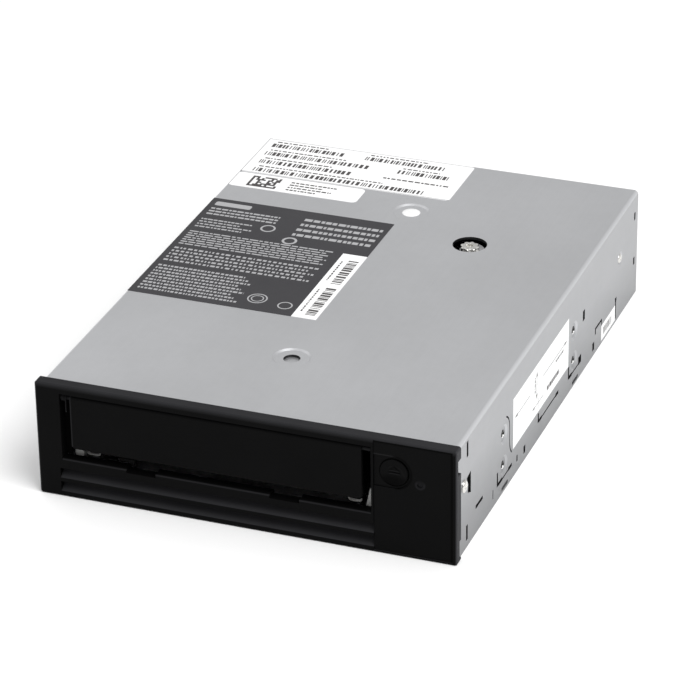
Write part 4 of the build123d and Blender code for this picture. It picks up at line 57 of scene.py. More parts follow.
# Materials
class Finish:
    """A Principled material built from object-space noise and masks, one call per layer."""

    def __init__(self, name, roughness, metallic=0.0, **fixed):
        self.material = bpy.data.materials.new(name)
        self.material.use_nodes = True
        self.nodes = self.material.node_tree.nodes
        self.links = self.material.node_tree.links
        self.shader = self.nodes["Principled BSDF"]
        self.shader.inputs["Metallic"].default_value = metallic
        self.shader.inputs["Roughness"].default_value = roughness
        for socket, value in fixed.items():
            self.shader.inputs[socket.replace("_", " ")].default_value = value
        places = self.nodes.new("ShaderNodeTexCoord").outputs
        self.place = places["Object"]
        self.normal = places["Normal"]
        self.height = None

    def stretched(self, stretch):
        """The object-space position, scaled along each axis."""
        mapping = self.nodes.new("ShaderNodeMapping")
        mapping.inputs["Scale"].default_value = stretch
        self.links.new(self.place, mapping.inputs["Vector"])
        return mapping.outputs[0]

    def noise(self, scale, detail, stretch=(1, 1, 1)):
        """Noise whose scale is in features per metre."""
        texture = self.nodes.new("ShaderNodeTexNoise")
        texture.inputs["Scale"].default_value = scale
        texture.inputs["Detail"].default_value = detail
        texture.inputs["Roughness"].default_value = NOISE_ROUGHNESS
        self.links.new(self.stretched(stretch), texture.inputs["Vector"])
        return texture.outputs["Fac"]

    def cells(self, scale, stretch=(1, 1, 1)):
        """Distance from the middle of crystal-like cells."""
        texture = self.nodes.new("ShaderNodeTexVoronoi")
        texture.inputs["Scale"].default_value = scale
        self.links.new(self.stretched(stretch), texture.inputs["Vector"])
        return texture.outputs["Distance"]

    def ramp(self, factor, dark, light, low=NOISE_LOW, high=NOISE_HIGH):
        """Two colours over a factor's useful range."""
        ramp = self.nodes.new("ShaderNodeValToRGB")
        for element, position, colour in zip(ramp.color_ramp.elements, (low, high), (dark, light)):
            element.position = position
            element.color = (*colour, 1)
        self.links.new(factor, ramp.inputs[0])
        return ramp.outputs[0]

    def feed(self, socket, value):
        """Links a socket or sets a colour or a number."""
        if isinstance(value, bpy.types.NodeSocket):
            self.links.new(value, socket)
        else:
            socket.default_value = (*value, 1) if isinstance(value, tuple) else value

    def mix(self, kind, factor, first, second):
        """Mixes two colours, which are sockets or values."""
        mix = self.nodes.new("ShaderNodeMix")
        mix.data_type = "RGBA"
        mix.blend_type = kind
        for index, value in zip(MIX_INPUTS, (factor, first, second)):
            self.feed(mix.inputs[index], value)
        return mix.outputs[MIX_COLOUR]

    def math(self, kind, first, second=0.0):
        """One arithmetic step on sockets or numbers."""
        step = self.nodes.new("ShaderNodeMath")
        step.operation = kind
        self.feed(step.inputs[0], first)
        self.feed(step.inputs[1], second)
        return step.outputs[0]

    def chain(self, kind, first, *others):
        """One arithmetic step after another over several values."""
        for other in others:
            first = self.math(kind, first, other)
        return first

    def both(self, *masks):
        """Where all the masks are."""
        return self.chain("MULTIPLY", *masks)

    def either(self, *masks):
        """Where any of the masks is."""
        return self.chain("MAXIMUM", *masks)

    def without(self, mask):
        """Where a mask isn't."""
        return self.math("SUBTRACT", 1.0, mask)

    def size(self, value):
        """A value without its sign."""
        return self.math("ABSOLUTE", value)

    def span(self, factor, start, end, low=0.0, high=1.0):
        """Maps a factor's range onto another, clamped."""
        spread = self.nodes.new("ShaderNodeMapRange")
        for socket, value in zip(("From Min", "From Max", "To Min", "To Max"), (start, end, low, high)):
            spread.inputs[socket].default_value = value
        self.links.new(factor, spread.inputs["Value"])
        return spread.outputs[0]

    def reach(self, distance, start, end, low=0.0, high=1.0):
        """Maps a distance, whose range is in mm, clamped."""
        return self.span(distance, start * MM, end * MM, low, high)

    def near(self, distance, centre, outer, inner):
        """1 within `inner` mm of a centre in mm, 0 beyond `outer`."""
        return self.reach(self.size(self.math("SUBTRACT", distance, centre * MM)), outer, inner)

    def part(self, axis, source=None):
        """One component of the object-space position, or of another vector."""
        split = self.nodes.new("ShaderNodeSeparateXYZ")
        self.links.new(source or self.place, split.inputs[0])
        return split.outputs[axis]

    def facing(self, axis, start, end):
        """How far a surface of the object faces along an axis, either way."""
        return self.span(self.size(self.part(axis, self.normal)), start, end)

    def clouded(self, cloud, rgb, low=0.86, high=1.14):
        """A colour that varies softly in brightness."""
        return self.ramp(cloud, tinted(rgb, low), tinted(rgb, high))

    def specked(self, base, speck):
        """Fine darker specks over a colour."""
        return self.mix("MULTIPLY", 1.0, base, self.ramp(speck, (0.9,) * 3, WHITE))

    def colour(self, socket):
        self.links.new(socket, self.shader.inputs["Base Color"])
        return self

    def rough(self, factor, low, high):
        """Roughness between two values over the middle of a factor."""
        spread = self.span(factor, NOISE_LOW, NOISE_HIGH, low, high)
        self.links.new(spread, self.shader.inputs["Roughness"])
        return self

    def grained(self, base, speck, roughness, texture):
        """Colour, roughness and fine relief of a spark-textured moulding."""
        return self.colour(base).rough(speck, roughness - 0.06, roughness + 0.08).bump(speck, texture, 0.03)

    def bump(self, factor, strength, distance):
        """Adds a layer of relief; distance is in mm."""
        bump = self.nodes.new("ShaderNodeBump")
        bump.inputs["Strength"].default_value = strength
        bump.inputs["Distance"].default_value = distance * MM
        self.links.new(factor, bump.inputs["Height"])
        if self.height is not None:
            self.links.new(self.height, bump.inputs["Normal"])
        self.height = bump.outputs[0]
        self.links.new(self.height, self.shader.inputs["Normal"])
        return self


def middle(box):
    """The middle of a box."""
    low, high = box
    return (low + high) / 2


def tinted(rgb, share):
    """A colour scaled in brightness."""
    return tuple(channel * share for channel in rgb)


def sheet_steel(name, rgb, roughness=0.42, metallic=0.85, painted_shading=None, **fixed):
    """Zinc-coated sheet: rolling grain along Y and a faint spangle; an optional function paints shade and
    highlights into its colour.
    """
    f = Finish(name, roughness, metallic, **fixed)
    dark, light = tinted(rgb, 0.975), tinted(rgb, 1.025)
    spangle = f.ramp(f.cells(260), dark, light, 0.0, 1.0)
    grain = f.noise(900, 2, (1, 0.04, 1))
    cloud = f.noise(18, 4)
    base = f.mix("MIX", 0.5, spangle, f.ramp(cloud, dark, light, 0.35, 0.65))
    base = f.mix("MULTIPLY", 1.0, base, f.ramp(grain, (0.975,) * 3, WHITE, 0.2, 0.8))
    if painted_shading:
        base = painted_shading(f, base, rgb)
    f.colour(base).rough(cloud, roughness - 0.05, roughness + 0.07)
    f.bump(grain, 0.05, 0.02).bump(f.noise(2600, 2), 0.06, 0.01)
    return f.material


# Painted shade and highlight on the casing, as shares of its own colour: shade on the side walls, a highlight
# on the folds, shade at the foot and on cut edges
WALL_SHARE, FOLD_SHARE, FOOT_SHARE, CUT_SHARE = 0.705, 1.25, 0.58, 0.06  # of the casing's own colour
FOOT_HEIGHT, FOOT_SLOPE = 30, 0.05  # the painted shade at the foot ends lower towards the rear


def case_painted_shading(f, base, rgb):
    """Painted shade on the side walls and at their foot, a painted highlight on the folds, and painted shade
    on cut edges.
    """
    level = f.part("Z")
    width = f.size(f.part("X"))
    fold = f.both(f.facing("X", 0.15, 0.6), f.facing("Z", 0.15, 0.6))
    fold = f.both(fold, f.reach(level, 37.5, 38.5), f.reach(width, 70.0, 70.5))
    base = f.mix("MULTIPLY", 1.0, base, f.span(f.facing("X", 0.0, 1.0), 0.8, 1.0, 1.0, WALL_SHARE))
    base = f.mix("MIX", fold, base, tinted(rgb, FOLD_SHARE))
    behind_bezel = f.math("SUBTRACT", f.part("Y"), BEZEL_FRONT * MM)
    raised = f.math("ADD", level, f.math("MULTIPLY", behind_bezel, FOOT_SLOPE))
    base = f.mix("MULTIPLY", 1.0, base, f.reach(raised, 0, FOOT_HEIGHT, FOOT_SHARE, 1.0))
    top_cuts = f.both(f.without(f.facing("Z", 0.3, 0.6)), f.reach(width, 70.5, 70.0))
    top_cuts = f.both(top_cuts, f.reach(level, 39.0, 40.0))
    wall_cuts = f.both(f.reach(width, 71.2, 71.6), f.without(f.facing("X", 0.3, 0.6)))
    wall_cuts = f.both(wall_cuts, f.reach(level, 38.5, 38.0), f.reach(level, 1.2, 1.6))
    return f.mix("MIX", f.either(top_cuts, wall_cuts), base, tinted(rgb, CUT_SHARE))


MOUTH_MIDDLE, MOUTH_HALF = -10.3, 54.9
SIDE_SHARE, LINE_SHARE = 1.7, 0.6  # painted light on the bezel's sides against its front, and the strength of the painted highlight on its edges


def bezel_plastic(name, rgb, painted_lit_rgb):
    """Black moulding, with painted light on its top, its sides and the groove floors, and painted highlights
    on the mouth's edges.
    """
    f = Finish(name, 0.5, Specular_IOR_Level=0.04)
    cloud = f.noise(CLOUD_SCALE, 3)
    speck = f.noise(SPECK_SCALE, 2)
    across, depth, level = (f.part(axis) for axis in "XYZ")
    width = f.size(across)
    top = f.reach(level, 40.5, 42.2)
    side = f.reach(width, 73.3, 73.8)
    groove = f.both(f.reach(level, 12.8, 11.8), f.facing("Z", 0.2, 0.6))
    mouth = f.near(across, MOUTH_MIDDLE, MOUTH_HALF, MOUTH_HALF - 0.2)
    sill = f.both(f.near(level, 14.4, 0.4, 0.2), f.reach(depth, -103.9, -104.2), mouth)
    door_edge = f.both(f.reach(across, -61.1, -61.4), f.reach(depth, -104.3, -104.2))
    door_edge = f.both(door_edge, mouth, f.reach(level, 18.0, 19.0))
    lines = f.math("MULTIPLY", f.either(sill, door_edge), LINE_SHARE)
    # Painted light: the top, the sides, the groove floors and the mouth's edges take a paler colour where
    # light falls on them
    painted_light_mask = f.either(top, side, groove, lines)
    base = f.specked(f.mix("MIX", painted_light_mask, f.clouded(cloud, rgb), f.clouded(cloud, painted_lit_rgb, 0.9, 1.1)), speck)
    # Painted light: the sides are made brighter than the front
    base = f.mix("MULTIPLY", 1.0, base, f.reach(width, 73.3, 73.8, 1.0, SIDE_SHARE))
    return f.grained(base, speck, 0.5, 0.2).material


def moulded(name, rgb, roughness, texture, level, pitch=SPECK_SCALE):
    """Spark-textured moulding: fine even relief and a faint flow mottling."""
    f = Finish(name, roughness, Specular_IOR_Level=level)
    cloud = f.noise(CLOUD_SCALE, 3)
    speck = f.noise(pitch, 2)
    base = f.specked(f.clouded(cloud, rgb), speck)
    return f.grained(base, speck, roughness, texture).material


def machined(name, rgb, roughness):
    """Turned, plated or ground metal."""
    f = Finish(name, roughness, 1.0)
    lines = f.noise(1800, 3)
    base = f.clouded(f.noise(160, 4), rgb, 0.92, 1.08)
    f.colour(base).rough(lines, roughness - 0.06, roughness + 0.08).bump(lines, 0.15, 0.01)
    return f.material


def cast(name, rgb):
    """Die-cast alloy: granular skin with flow marks."""
    f = Finish(name, 0.5, 0.8)
    cloud = f.noise(60, 5)
    skin = f.noise(1300, 3)
    base = f.specked(f.clouded(cloud, rgb, 0.88, 1.08), skin)
    f.colour(base).rough(cloud, 0.42, 0.58).bump(skin, 0.35, 0.04)
    return f.material


def circuit(name):
    """Solder mask over copper: a mesh of faint tracks and pads."""
    f = Finish(name, 0.32)
    lanes = f.nodes.new("ShaderNodeTexBrick")
    lanes.inputs["Scale"].default_value = 260
    lanes.inputs["Mortar Size"].default_value = 0.03
    lanes.inputs["Color1"].default_value = (0.010, 0.085, 0.035, 1)
    lanes.inputs["Color2"].default_value = (0.012, 0.10, 0.042, 1)
    lanes.inputs["Mortar"].default_value = (0.03, 0.19, 0.08, 1)
    f.links.new(f.place, lanes.inputs["Vector"])
    vias = f.ramp(f.cells(330, (1, 1, 0.01)), (0.55, 0.50, 0.34), (0.0, 0.0, 0.0), 0.10, 0.13)
    f.colour(f.mix("LIGHTEN", 1.0, lanes.outputs["Color"], vias)).rough(f.noise(300, 2), 0.26, 0.4)
    f.bump(lanes.outputs["Fac"], 0.3, 0.03)
    return f.material


def wound(name):
    """Enamelled winding wire over dark stator iron."""
    f = Finish(name, 0.35, 0.7)
    strands = f.noise(2400, 2, (1, 1, 6))
    f.colour(f.ramp(strands, (0.16, 0.05, 0.02), (0.55, 0.20, 0.07), 0.35, 0.65)).bump(strands, 0.6, 0.08)
    return f.material


def smoked(name):
    """Light guide moulding, dark while it isn't lit, with a painted highlight: the upper part of its ring is
    darkened so that the lower part reads a little paler.
    """
    f = Finish(name, 0.4, Specular_IOR_Level=0.05)
    haze = f.noise(700, 2)
    axis = middle(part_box("light_guide")).z / MM
    base = f.ramp(haze, (0.006, 0.006, 0.007), (0.010, 0.010, 0.011))
    base = f.mix("MULTIPLY", 1.0, base, f.reach(f.part("Z"), axis + 0.5, axis + 1.3, 1.0, 0.4))
    f.colour(base).rough(haze, 0.35, 0.45)
    return f.material


def flat_finish(name, rgb, roughness=0.5):
    """Printed or coated film: fine paper-like tooth and slight mottling."""
    f = Finish(name, roughness, Specular_IOR_Level=0.3)
    cloud = f.noise(70, 3)
    base = f.clouded(cloud, rgb, 0.965, 1.0)
    f.colour(base).rough(cloud, roughness - 0.05, roughness + 0.05).bump(f.noise(3200, 2), 0.1, 0.01)
    return f.material


def collar_steel(name, levels):
    """Dark steel, whose darkness paints the shade inside the holes, with painted glints at the given levels.
    """
    f = Finish(name, 0.3, 0.7)
    cloud = f.noise(900, 3)
    bright = f.either(*(f.near(f.part("Z"), level, 0.45, 0.30) for level in levels))
    dark = f.ramp(cloud, (0.035, 0.035, 0.034), (0.06, 0.06, 0.058))
    f.colour(f.mix("MIX", bright, dark, (0.95, 0.95, 0.94))).rough(cloud, 0.25, 0.35)
    return f.material


BUTTON = middle(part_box("eject_button"))
PANEL_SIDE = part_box("control_panel")[1].x / MM
PANEL_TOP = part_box("control_panel")[1].z / MM
RECESS = 5.9  # radius of the recess round the button, in mm


def panel_marks(f, across, up, radius):
    """Shade in the panel's seams and in the button's recess, whose upper edge catches light."""
    right, left = f.reach(across, 0, 1), f.reach(across, 0, -1)
    top_seam = f.reach(f.part("Z"), PANEL_TOP - 0.8, PANEL_TOP - 0.5)
    side_seam = f.reach(f.part("X"), PANEL_SIDE - 0.8, PANEL_SIDE - 0.5)
    recess = f.both(f.near(radius, RECESS, 0.46, 0.31), right)
    gap = f.reach(radius, 5.4, 5.2)
    return f.either(top_seam, side_seam, recess, gap), f.both(f.near(up, RECESS, 0.36, 0.21), left)


def button_marks(f, across, up, radius):
    """Shade in the lower part of the button's dish and at its right rim."""
    rim = f.both(f.reach(radius, 4.3, 4.6), f.reach(across, 0, 1))
    return f.either(f.reach(up, -0.8, -2.4), rim), 0.0


def sign_marks(f, across, up, radius):
    """The sign's faces lie in shade and their lower edges catch light."""
    edges = f.either(f.near(up, 0.48, 0.25, 0.10), f.near(up, -0.64, 0.25, 0.10))
    return f.without(edges), edges


def marked_plastic(name, rgb, marks, shade, light=1.0):
    """The front's black moulding, with shade and light round the button where `marks` says."""
    f = Finish(name, 0.5, Specular_IOR_Level=0.04)
    speck = f.noise(SPECK_SCALE, 2)
    across = f.math("SUBTRACT", f.part("X"), BUTTON.x)
    up = f.math("SUBTRACT", f.part("Z"), BUTTON.z)
    radius = f.math("SQRT", f.math("ADD", f.math("MULTIPLY", across, across), f.math("MULTIPLY", up, up)))
    dark, pale = marks(f, across, up, radius)
    base = f.specked(f.clouded(f.noise(CLOUD_SCALE, 3), rgb), speck)
    base = f.mix("MIX", dark, base, tinted(rgb, shade))
    base = f.mix("MIX", pale, base, tinted(rgb, light))
    return f.grained(base, speck, 0.5, 0.2).material


MOUNT_DEPTHS = (47.4, 126.65)  # the side mounting holes' places behind the chassis front
MOUNT_LEVELS = (10.0, 21.84)  # and above the floor
LIP_DROP = 0.95  # from a hole's axis to the painted glint on its collar's lip
FRONT_BLACK = (0.0026, 0.0026, 0.0027)
FINISHES = {
    "case_steel": sheet_steel("case_steel", (0.584, 0.590, 0.605), painted_shading=case_painted_shading),
    # The paler colour is painted light on the bezel's top, sides, groove floors and mouth's edges
    "front_plastic": bezel_plastic("front_plastic", FRONT_BLACK, (0.024, 0.024, 0.026)),
    "pin_steel": machined("pin_steel", (0.62, 0.62, 0.63), 0.22),
    "spring_steel": machined("spring_steel", (0.10, 0.10, 0.11), 0.35),
    "screw_steel": machined("screw_steel", (0.72, 0.71, 0.68), 0.25),
    "board": circuit("board"),
    "chip_plastic": moulded("chip_plastic", (0.012, 0.012, 0.013), 0.55, 0.3, 0.35, 4200),
    "light_plastic": smoked("light_plastic"),
    "cast_aluminium": cast("cast_aluminium", (0.52, 0.52, 0.53)),
    "loader_steel": sheet_steel("loader_steel", (0.56, 0.56, 0.55), 0.34, 0.95),
    "gear_plastic": moulded("gear_plastic", (0.72, 0.70, 0.62), 0.42, 0.12, 0.5),
    "pinion_brass": machined("pinion_brass", (0.72, 0.52, 0.22), 0.28),
    "motor_can": machined("motor_can", (0.60, 0.60, 0.61), 0.26),
    "stator_iron": wound("stator_iron"),
    "fan_plastic": moulded("fan_plastic", (0.018, 0.018, 0.020), 0.45, 0.25, 0.4),
    "reel_plastic": moulded("reel_plastic", (0.045, 0.048, 0.055), 0.38, 0.12, 0.5),
    "head_ceramic": moulded("head_ceramic", (0.030, 0.028, 0.028), 0.2, 0.05, 0.6, 5200),
    "track_plastic": moulded("track_plastic", (0.055, 0.055, 0.060), 0.4, 0.15, 0.5),
}
BLACKENED = moulded("blackened_steel", (0.006, 0.006, 0.0065), 0.5, 0.2, 0.08)
NODE_FINISHES = {
    "door_pin": BLACKENED,
    "door_spring": BLACKENED,
    "cartridge_tray": sheet_steel("tray_black", (0.012, 0.012, 0.013), 0.55, 0.0, Specular_IOR_Level=0.1),
    "control_panel": marked_plastic("panel_plastic", FRONT_BLACK, panel_marks, 0.05, 4.5),
    "eject_button": marked_plastic("button_plastic", FRONT_BLACK, button_marks, 0.08),
}
for name, cad in nodes.items():
    recorded = cad.data.materials[0].name.split(".")[0]
    cad.data.materials[0] = NODE_FINISHES.get(name) or FINISHES[recorded]

SIGN_PLASTIC = marked_plastic("sign_plastic", FRONT_BLACK, sign_marks, 0.3, 3.6)
LABEL_WHITE = flat_finish("label_white", (0.93, 0.93, 0.93), 0.45)
LABEL_GREY = flat_finish("label_charcoal", (0.034, 0.033, 0.037))
INK = flat_finish("label_ink", (0.06, 0.055, 0.055))
PALE_INK = flat_finish("label_pale_ink", (0.40, 0.40, 0.41))
PLUG_WHITE = moulded("plug_white", (0.90, 0.90, 0.90), 0.5, 0.1, 0.4)
# Pale nylon for the pieces at the tray's mouth: partly their own colour, partly a painted highlight for the
# light caught there
NYLON_HIGHLIGHT = moulded("nylon", (0.68, 0.68, 0.66), 0.4, 0.1, 0.5)
DULL_NYLON_HIGHLIGHT = moulded("dull_nylon", (0.42, 0.42, 0.41), 0.45, 0.1, 0.3)
FOAM = moulded("seal_foam", (0.0035, 0.0035, 0.0035), 0.85, 0.6, 0.0, 1400)
HOOK_PLASTIC = moulded("hook_plastic", (0.022, 0.022, 0.022), 0.5, 0.15, 0.1)
GLINT = collar_steel("collar_steel", [level - LIP_DROP for level in MOUNT_LEVELS])


# Building blocks: outlines, places and sizes are in mm
LATHE_STEPS, STAR_STEPS, SCREW_STEPS, LIP_STEPS, THREAD_STEPS = 32, 96, 48, 28, 24  # sides of round pieces


def finished(name, bm, material, body="chassis", smooth=False):
    """Links a bmesh as a piece that rides on a body."""
    mesh = bpy.data.meshes.new(name)
    bmesh.ops.recalc_face_normals(bm, faces=bm.faces)
    bm.to_mesh(mesh)
    bm.free()
    mesh.materials.append(material)
    for face in mesh.polygons:
        face.use_smooth = smooth
    piece = bpy.data.objects.new(name, mesh)
    collection.objects.link(piece)
    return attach(piece, body)


def frame_at(x, y, z, outward="Z"):
    """A frame at a place, its third axis along Z, X, -X or -Y."""
    turn = {
        "Z": Matrix.Identity(4),
        "X": Matrix.Rotation(math.pi / 2, 4, "Y"),
        "-X": Matrix.Rotation(-math.pi / 2, 4, "Y"),
        "-Y": Matrix.Rotation(math.pi / 2, 4, "X"),
    }
    return Matrix.Translation(Vector((x, y, z)) * MM) @ turn[outward]


def turns(steps):
    """Angles all round."""
    return [2 * math.pi * step / steps for step in range(steps)]


def ring_at(bm, points, place):
    """New vertices at points in a place's frame."""
    return [bm.verts.new(place @ (Vector(point) * MM)) for point in points]


def circle(radius, height, steps, centre=(0, 0)):
    """Points of a level circle."""
    u, v = centre
    return [(u + radius * math.cos(a), v + radius * math.sin(a), height) for a in turns(steps)]


def skin(bm, rings):
    """Walls from each ring of vertices to the next."""
    for lower, upper in zip(rings, rings[1:]):
        for i in range(len(lower)):
            j = (i + 1) % len(lower)
            bm.faces.new((lower[i], lower[j], upper[j], upper[i]))


def stack(bm, rings):
    """A closed solid from rings of vertices, with a face over the first and the last."""
    skin(bm, rings)
    bm.faces.new(rings[0][::-1])
    bm.faces.new(rings[-1])


def prism(bm, outline, low, high, place):
    """A closed prism from a flat outline."""
    stack(bm, [ring_at(bm, [(u, v, w) for u, v in outline], place) for w in (low, high)])


def plate(name, outline, thick, place, material, body="chassis"):
    """A prism as a piece of its own."""
    bm = bmesh.new()
    prism(bm, outline, 0, thick, place)
    return finished(name, bm, material, body)


def box_outline(u, v, w, h):
    return [(u, v), (u + w, v), (u + w, v + h), (u, v + h)]


def rounded(u, v, w, h, r, steps=5):
    """A rectangle's outline with round corners."""
    outline = []
    left, right, bottom, top = u + r, u + w - r, v + r, v + h - r
    for cu, cv, start in ((right, bottom, -90), (right, top, 0), (left, top, 90), (left, bottom, 180)):
        for step in range(steps + 1):
            angle = math.radians(start + 90 * step / steps)
            outline.append((cu + r * math.cos(angle), cv + r * math.sin(angle)))
    return outline


def flat_ring(bm, centre, outer, inner, low, high, place, steps=28):
    """A flat closed ring."""
    rings = [ring_at(bm, circle(radius, height, steps, centre), place)
             for radius, height in ((inner, low), (outer, low), (outer, high), (inner, high))]
    skin(bm, rings + rings[:1])


def lathe(bm, profile, place):
    """A closed turned solid; the profile of (radius, height) starts and ends on the axis."""
    bottom, top = ring_at(bm, [(0, 0, height) for _, height in (profile[0], profile[-1])], place)
    rings = [ring_at(bm, circle(radius, height, LATHE_STEPS), place) for radius, height in profile[1:-1]]
    skin(bm, rings)
    for i in range(LATHE_STEPS):
        j = (i + 1) % LATHE_STEPS
        bm.faces.new((bottom, rings[0][j], rings[0][i]))
        bm.faces.new((top, rings[-1][i], rings[-1][j]))


# Labels: films whose generic print spells nothing. On the top u runs along X and v along Y, on the side u
# runs along Y and v along Z. Y starts at the chassis front in both.
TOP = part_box("top_cover")[1].z
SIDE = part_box("top_cover")[1].x
FILM = 0.08
PRINT = FILM + 0.015
ON_TOP = Matrix.Translation((0, CHASSIS_FRONT * MM, TOP))
ON_SIDE = Matrix(((0, 0, 1, SIDE), (1, 0, 0, CHASSIS_FRONT * MM), (0, 1, 0, 0), (0, 0, 0, 1)))


def ink(bm, outline, place):
    """One printed shape."""
    prism(bm, outline, FILM / 2, PRINT, place)


def stroke(bm, u, v, start, wide, height, across, place):
    """One mark of a run that goes along u, or across it along v."""
    outline = box_outline(u, v + start, height, wide) if across else box_outline(u + start, v, wide, height)
    ink(bm, outline, place)


def bars(bm, u, v, length, height, seed, place, across=False, pitch=0.42):
    """A run of plain bars of mixed width."""
    draw = random.Random(seed)
    start = 0.0
    while start < length:
        wide = pitch * draw.choice((1, 1, 2, 3))
        if start + wide > length:
            break
        stroke(bm, u, v, start, wide, height, across, place)
        start += wide + pitch * draw.choice((1, 1, 2))


def dashes(bm, u, v, length, height, seed, place, block, gap, across=False):
    """A line of plain dashes in place of small print."""
    draw = random.Random(seed)
    start = 0.0
    while start < length:
        wide = min(block * draw.uniform(0.5, 1.8), length - start)
        stroke(bm, u, v, start, wide, height, across, place)
        start += wide + gap * draw.uniform(0.7, 1.3)


def paragraph(bm, u, v, pitch, lengths, height, seed, block, gap):
    """Lines of dashes on the top, one behind the other."""
    for row, length in enumerate(lengths):
        dashes(bm, u, v + pitch * row, length, height, seed + row, ON_TOP, block, gap)


DARK_OUTLINE = [(-72.3, 69.3), (-11.2, 69.3), (-11.2, 120.7), (-2.1, 120.7), (-2.1, 149.0), (-72.3, 149.0)]
for name, outline, place, material in (
    ("label_rear", rounded(-72.3, 174.0, 82.3, 30.8, 1.5), ON_TOP, LABEL_WHITE),
    ("label_small", rounded(-72.3, 161.3, 50.6, 12.0, 2.0), ON_TOP, LABEL_WHITE),
    ("label_dark", DARK_OUTLINE, ON_TOP, LABEL_GREY),
    ("label_strip", box_outline(-11.2, 69.3, 9.1, 51.4), ON_TOP, LABEL_WHITE),
    ("label_side", box_outline(57.0, 11.0, 62.5, 19.0), ON_SIDE, LABEL_WHITE),
    ("label_tag", box_outline(160.0, 1.2, 17.3, 6.1), ON_SIDE, LABEL_WHITE),
):
    plate(name, outline, FILM, place, material)

# Rear label: rows of bars as (u, v, length), with a shorter line of dashes above each
CODE_HEIGHT = 3.1
LINE_RISE, LINE_LENGTH, LINE_HEIGHT = 4.3, 0.72, 0.8
bm = bmesh.new()
for row, (u, v, length) in enumerate((
    (-69, 197.6, 29), (-69, 190.2, 42), (-68.4, 182.9, 37), (-68, 175.6, 68),
    (-31.5, 197.6, 32), (-16, 190.2, 20),
)):
    bars(bm, u, v, length, CODE_HEIGHT, row, ON_TOP)
    dashes(bm, u + 1, v + LINE_RISE, length * LINE_LENGTH, LINE_HEIGHT, row + 20, ON_TOP, 1.1, 0.5)
dashes(bm, -19.5, 184.6, 25.5, 1.0, 41, ON_TOP, 1.3, 0.5)
finished("label_rear_print", bm, INK)

EDGE = 0.3
bm = bmesh.new()
for edge in (
    (-72.1, 174.2, 82.0, EDGE), (-72.1, 174.2, EDGE, 30.3),
    (-72.1, 204.2, 82.0, EDGE), (-72.1, 161.8, EDGE, 11.0),
):
    ink(bm, box_outline(*edge), ON_TOP)
finished("label_outlines", bm, PALE_INK)

# Small label: a block of random cells, closed along two edges, and four short lines
CELL_COLUMNS, CELL_ROWS, CELL_SHARE = 12, 8, 0.6
CELL_WIDTH, CELL_HEIGHT = 0.95, 1.1
CELL_U, CELL_V = -65.5, 162.8
bm = bmesh.new()
draw = random.Random(5)
for i in range(CELL_COLUMNS):
    for j in range(CELL_ROWS):
        if i == 0 or j == 0 or draw.random() < CELL_SHARE:
            corner = (CELL_U + i * CELL_WIDTH, CELL_V + j * CELL_HEIGHT)
            ink(bm, box_outline(*corner, CELL_WIDTH, CELL_HEIGHT), ON_TOP)
paragraph(bm, -50, 163.4, 2.1, (12, 17, 13, 18), 0.9, 50, 1.0, 0.4)
finished("label_small_print", bm, INK)

# Dark label: paragraphs, a heading's bar, and rings
bm = bmesh.new()
paragraph(bm, -70, 72.5, 2.3, [37 - 2 * (row % 3) for row in range(9)], 1.15, 60, 0.9, 0.45)
paragraph(bm, -70, 95.5, 2.5, [55 - 3 * (row % 2) for row in range(5)], 1.2, 70, 1.0, 0.7)
paragraph(bm, -70, 109.5, 1.75, [55 - 2 * (row % 2) for row in range(7)], 0.8, 80, 2.2, 0.5)
paragraph(bm, -34, 128.5, 4.2, [30] * 4, 1.9, 100, 1.7, 0.5)
paragraph(bm, -70, 124.5, 2.1, [18, 21, 16, 20], 0.9, 120, 1.2, 0.4)
paragraph(bm, -70, 135.4, 2.3, [27] * 3, 1.1, 110, 1.4, 0.4)
ink(bm, rounded(-70, 143.2, 14, 3.2, 0.8), ON_TOP)
for centre, outer, inner in (
    ((-44, 131), 2.8, 2.1), ((-33, 124), 2.8, 1.9), ((-27, 78), 3.6, 3.1), ((-27, 78), 2.3, 1.9),
    ((-16, 76), 2.7, 2.2),
):
    flat_ring(bm, centre, outer, inner, FILM / 2, PRINT, ON_TOP)
finished("label_dark_print", bm, PALE_INK)

# Strip: two runs of bars across it, as (v, length, seed), with a line of dashes beside each
STRIP_BARS, STRIP_LINES = -7.2, -9.6
bm = bmesh.new()
for v, length, seed in ((72, 22, 200), (97, 20, 201)):
    bars(bm, STRIP_BARS, v, length, 3.7, seed, ON_TOP, across=True)
for v, length, seed in ((74, 18, 202), (99, 16, 203)):
    dashes(bm, STRIP_LINES, v, length, 0.6, seed, ON_TOP, 0.9, 0.5, across=True)
finished("label_strip_print", bm, INK)

# Side label: thin lines that end in arrow tips, and three runs of dashes
bm = bmesh.new()
for line in (
    (59.4, 22.0, 16.1, 0.22), (90.2, 22.2, 26.5, 0.22), (82.8, 17.5, 0.3, 9.4), (78.5, 14.6, 11.7, 0.2),
    (84.4, 12.4, 0.25, 4.2),
):
    ink(bm, box_outline(*line), ON_SIDE)
for arrow in (
    [(58.6, 22.1), (61.6, 22.6), (61.6, 21.6)],
    [(117.6, 22.3), (114.6, 21.8), (114.6, 22.8)],
    [(82.95, 27.6), (82.2, 25.6), (83.7, 25.6)],
    [(82.95, 16.8), (83.7, 18.8), (82.2, 18.8)],
    [(77.8, 14.7), (80.4, 15.2), (80.4, 14.2)],
):
    ink(bm, arrow, ON_SIDE)
dashes(bm, 104.5, 20.2, 9, 0.8, 310, ON_SIDE, 0.9, 0.4)
dashes(bm, 94.5, 14.2, 14, 1.6, 311, ON_SIDE, 1.1, 0.4)
dashes(bm, 80.6, 20.0, 6, 0.8, 312, ON_SIDE, 0.8, 0.4, across=True)
finished("label_side_print", bm, INK)
bm = bmesh.new()
bars(bm, 162.5, 2.8, 10, 2.8, 300, ON_SIDE, pitch=0.33)
finished("label_tag_print", bm, INK)

